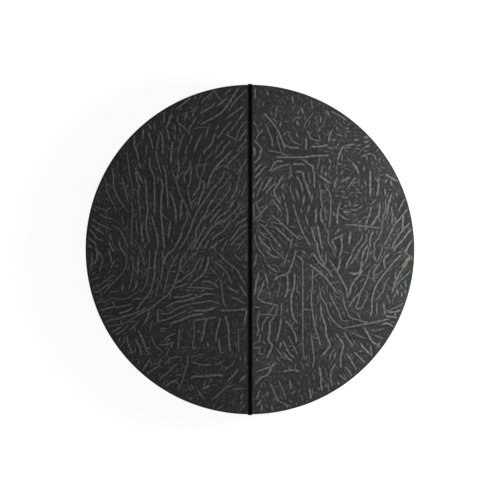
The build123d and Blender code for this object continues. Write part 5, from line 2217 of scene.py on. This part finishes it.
# ------------------------------------------------------------------ studio
@dataclass
class Studio:
    """A pale floor, soft light from the right and a camera straight above the cover."""

    sizes: CoverSizes
    lens: float = 200.0
    sensor: float = 36.0
    seen: float = 3.115
    floor_white: float = 0.93
    key: float = 122.0
    ambient: float = 0.10

    def build(self) -> None:
        """Makes the floor, the lights, the world and the camera."""
        self._floor()
        self._lights()
        self._world()
        self._camera()
        bpy.context.scene.view_settings.view_transform = "Standard"

    def _seen_directly(self, board: NodeBoard) -> bpy.types.NodeSocket:
        """1 where the eye, a reflection or glass sees the surface, and 0 for light that it scatters."""
        path = board.add("ShaderNodeLightPath").outputs
        shown = board.calc("MAXIMUM", path["Is Camera Ray"], path["Is Glossy Ray"])
        return board.calc("MAXIMUM", shown, path["Is Transmission Ray"])

    def _floor(self) -> None:
        """A pale floor that stays white to the eye but keeps the cover's shadow; its glow is dimmed by
        ambient occlusion, a painted shade under and beside the cover.
        """
        mesh = bpy.data.meshes.new("studio_floor")
        side, low = 30.0, -0.0006
        corners = [(-side, -side, low), (side, -side, low), (side, side, low), (-side, side, low)]
        mesh.from_pydata(corners, [], [(0, 1, 2, 3)])
        floor = bpy.data.objects.new("studio_floor", mesh)
        bpy.context.scene.collection.objects.link(floor)
        pale = bpy.data.materials.new("studio_floor")
        pale.use_nodes = True
        pale.node_tree.nodes.clear()
        board = NodeBoard(pale.node_tree)
        matte = board.add("ShaderNodeBsdfDiffuse", {"Color": (0.3, 0.3, 0.3)})
        # Painted shade: the floor's glow fades where ambient occlusion finds the cover near it, under and
        # beside it.
        open_sky = board.add("ShaderNodeAmbientOcclusion", {"Distance": 0.6}, samples=8).outputs["AO"]
        shown = board.calc("MULTIPLY", self._seen_directly(board), board.remap(open_sky, 0.24, 0.48))
        glow_level = board.calc("MULTIPLY", shown, self.floor_white)
        glow = board.add("ShaderNodeEmission", {"Color": (1.0, 1.0, 1.0), "Strength": glow_level})
        both = board.add("ShaderNodeAddShader", {0: matte.outputs[0], 1: glow.outputs[0]})
        clear = board.add("ShaderNodeBsdfTransparent")
        below = board.add("ShaderNodeNewGeometry").outputs["Backfacing"]
        passing = board.calc("MAXIMUM", below, board.add("ShaderNodeLightPath").outputs["Is Shadow Ray"])
        sided = board.add("ShaderNodeMixShader", {0: passing, 1: both.outputs[0], 2: clear.outputs[0]})
        out = board.add("ShaderNodeOutputMaterial")
        board.feed(out.inputs["Surface"], sided.outputs[0])
        mesh.materials.append(pale)

    def _lights(self) -> None:
        """A broad soft light from the right, two weak ones for the sides and one for the underside."""
        lamps = (
            ("key_light", (2.9, 0.2, 1.75), 1.4, self.key),
            ("back_light", (1.2, 5.0, 2.4), 2.6, self.key * 0.07),
            ("front_light", (1.0, -5.0, 2.2), 2.6, self.key * 0.10),
            ("under_light", (0.25, -0.3, -2.4), 1.2, self.key * 0.45),
        )
        for name, place, size, power in lamps:
            lamp = bpy.data.lights.new(name, "AREA")
            lamp.size, lamp.energy = size, power
            holder = bpy.data.objects.new(name, lamp)
            holder.location = place
            aim = Vector((0.0, 0.0, 0.2)) - holder.location
            holder.rotation_euler = aim.to_track_quat("-Z", "Y").to_euler()
            holder.visible_camera = False
            bpy.context.scene.collection.objects.link(holder)

    def _world(self) -> None:
        """White to the eye, and a plain even light on the cover."""
        world = bpy.data.worlds.new("studio_world")
        world.use_nodes = True
        world.node_tree.nodes.clear()
        board = NodeBoard(world.node_tree)
        seen = self._seen_directly(board)
        level = board.remap(seen, 0.0, 1.0, self.ambient, 1.0)
        sky = board.add("ShaderNodeBackground", {"Color": (1.0, 1.0, 1.0), "Strength": level})
        out = board.add("ShaderNodeOutputWorld")
        board.feed(out.inputs["Surface"], sky.outputs[0])
        bpy.context.scene.world = world

    def _camera(self) -> None:
        """Straight above the middle of the cover, with +Y up."""
        data = bpy.data.cameras.new("overhead_camera")
        data.lens, data.sensor_width = self.lens, self.sensor
        camera = bpy.data.objects.new("overhead_camera", data)
        height = self.seen * self.lens / self.sensor
        camera.location = (0.0, -0.003, self.sizes.top(self.sizes.rim) + height)
        data.clip_start, data.clip_end = 1.0, 60.0
        bpy.context.scene.collection.objects.link(camera)
        bpy.context.scene.camera = camera


# ------------------------------------------------------------------ the whole cover
def main() -> None:
    """Builds the cover's pieces in order, then the studio."""
    logging.basicConfig(level=logging.INFO, format="%(name)s: %(message)s")
    sizes = CoverSizes.measured()
    builders: list = []
    for half, top, seed in ((Half.LEFT, TOP_LEFT, 11), (Half.RIGHT, TOP_RIGHT, 23)):
        builders += [
            GrainedTop(half, sizes, top, seed),
            JacketSides(half, sizes),
            BottomPanel(half, sizes),
            FilmWrap(half, sizes),
            Skirt(half, sizes),
            Zip(half, sizes),
            SewnEnds(half, sizes),
        ]
    builders += [HingeGutter(sizes), HingeSeal(sizes)]
    for quarter in Quarter:
        builders += [LockStrap(quarter, sizes), CarryHandle(quarter, sizes)]
    for builder in builders:
        for piece in builder.build():
            LOG.info("built %s", piece.name)
    for part in hard_parts():
        LOG.info("dressed %s", part.dress().name)
    Studio(sizes).build()
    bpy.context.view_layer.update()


if __name__ == "__main__":
    main()
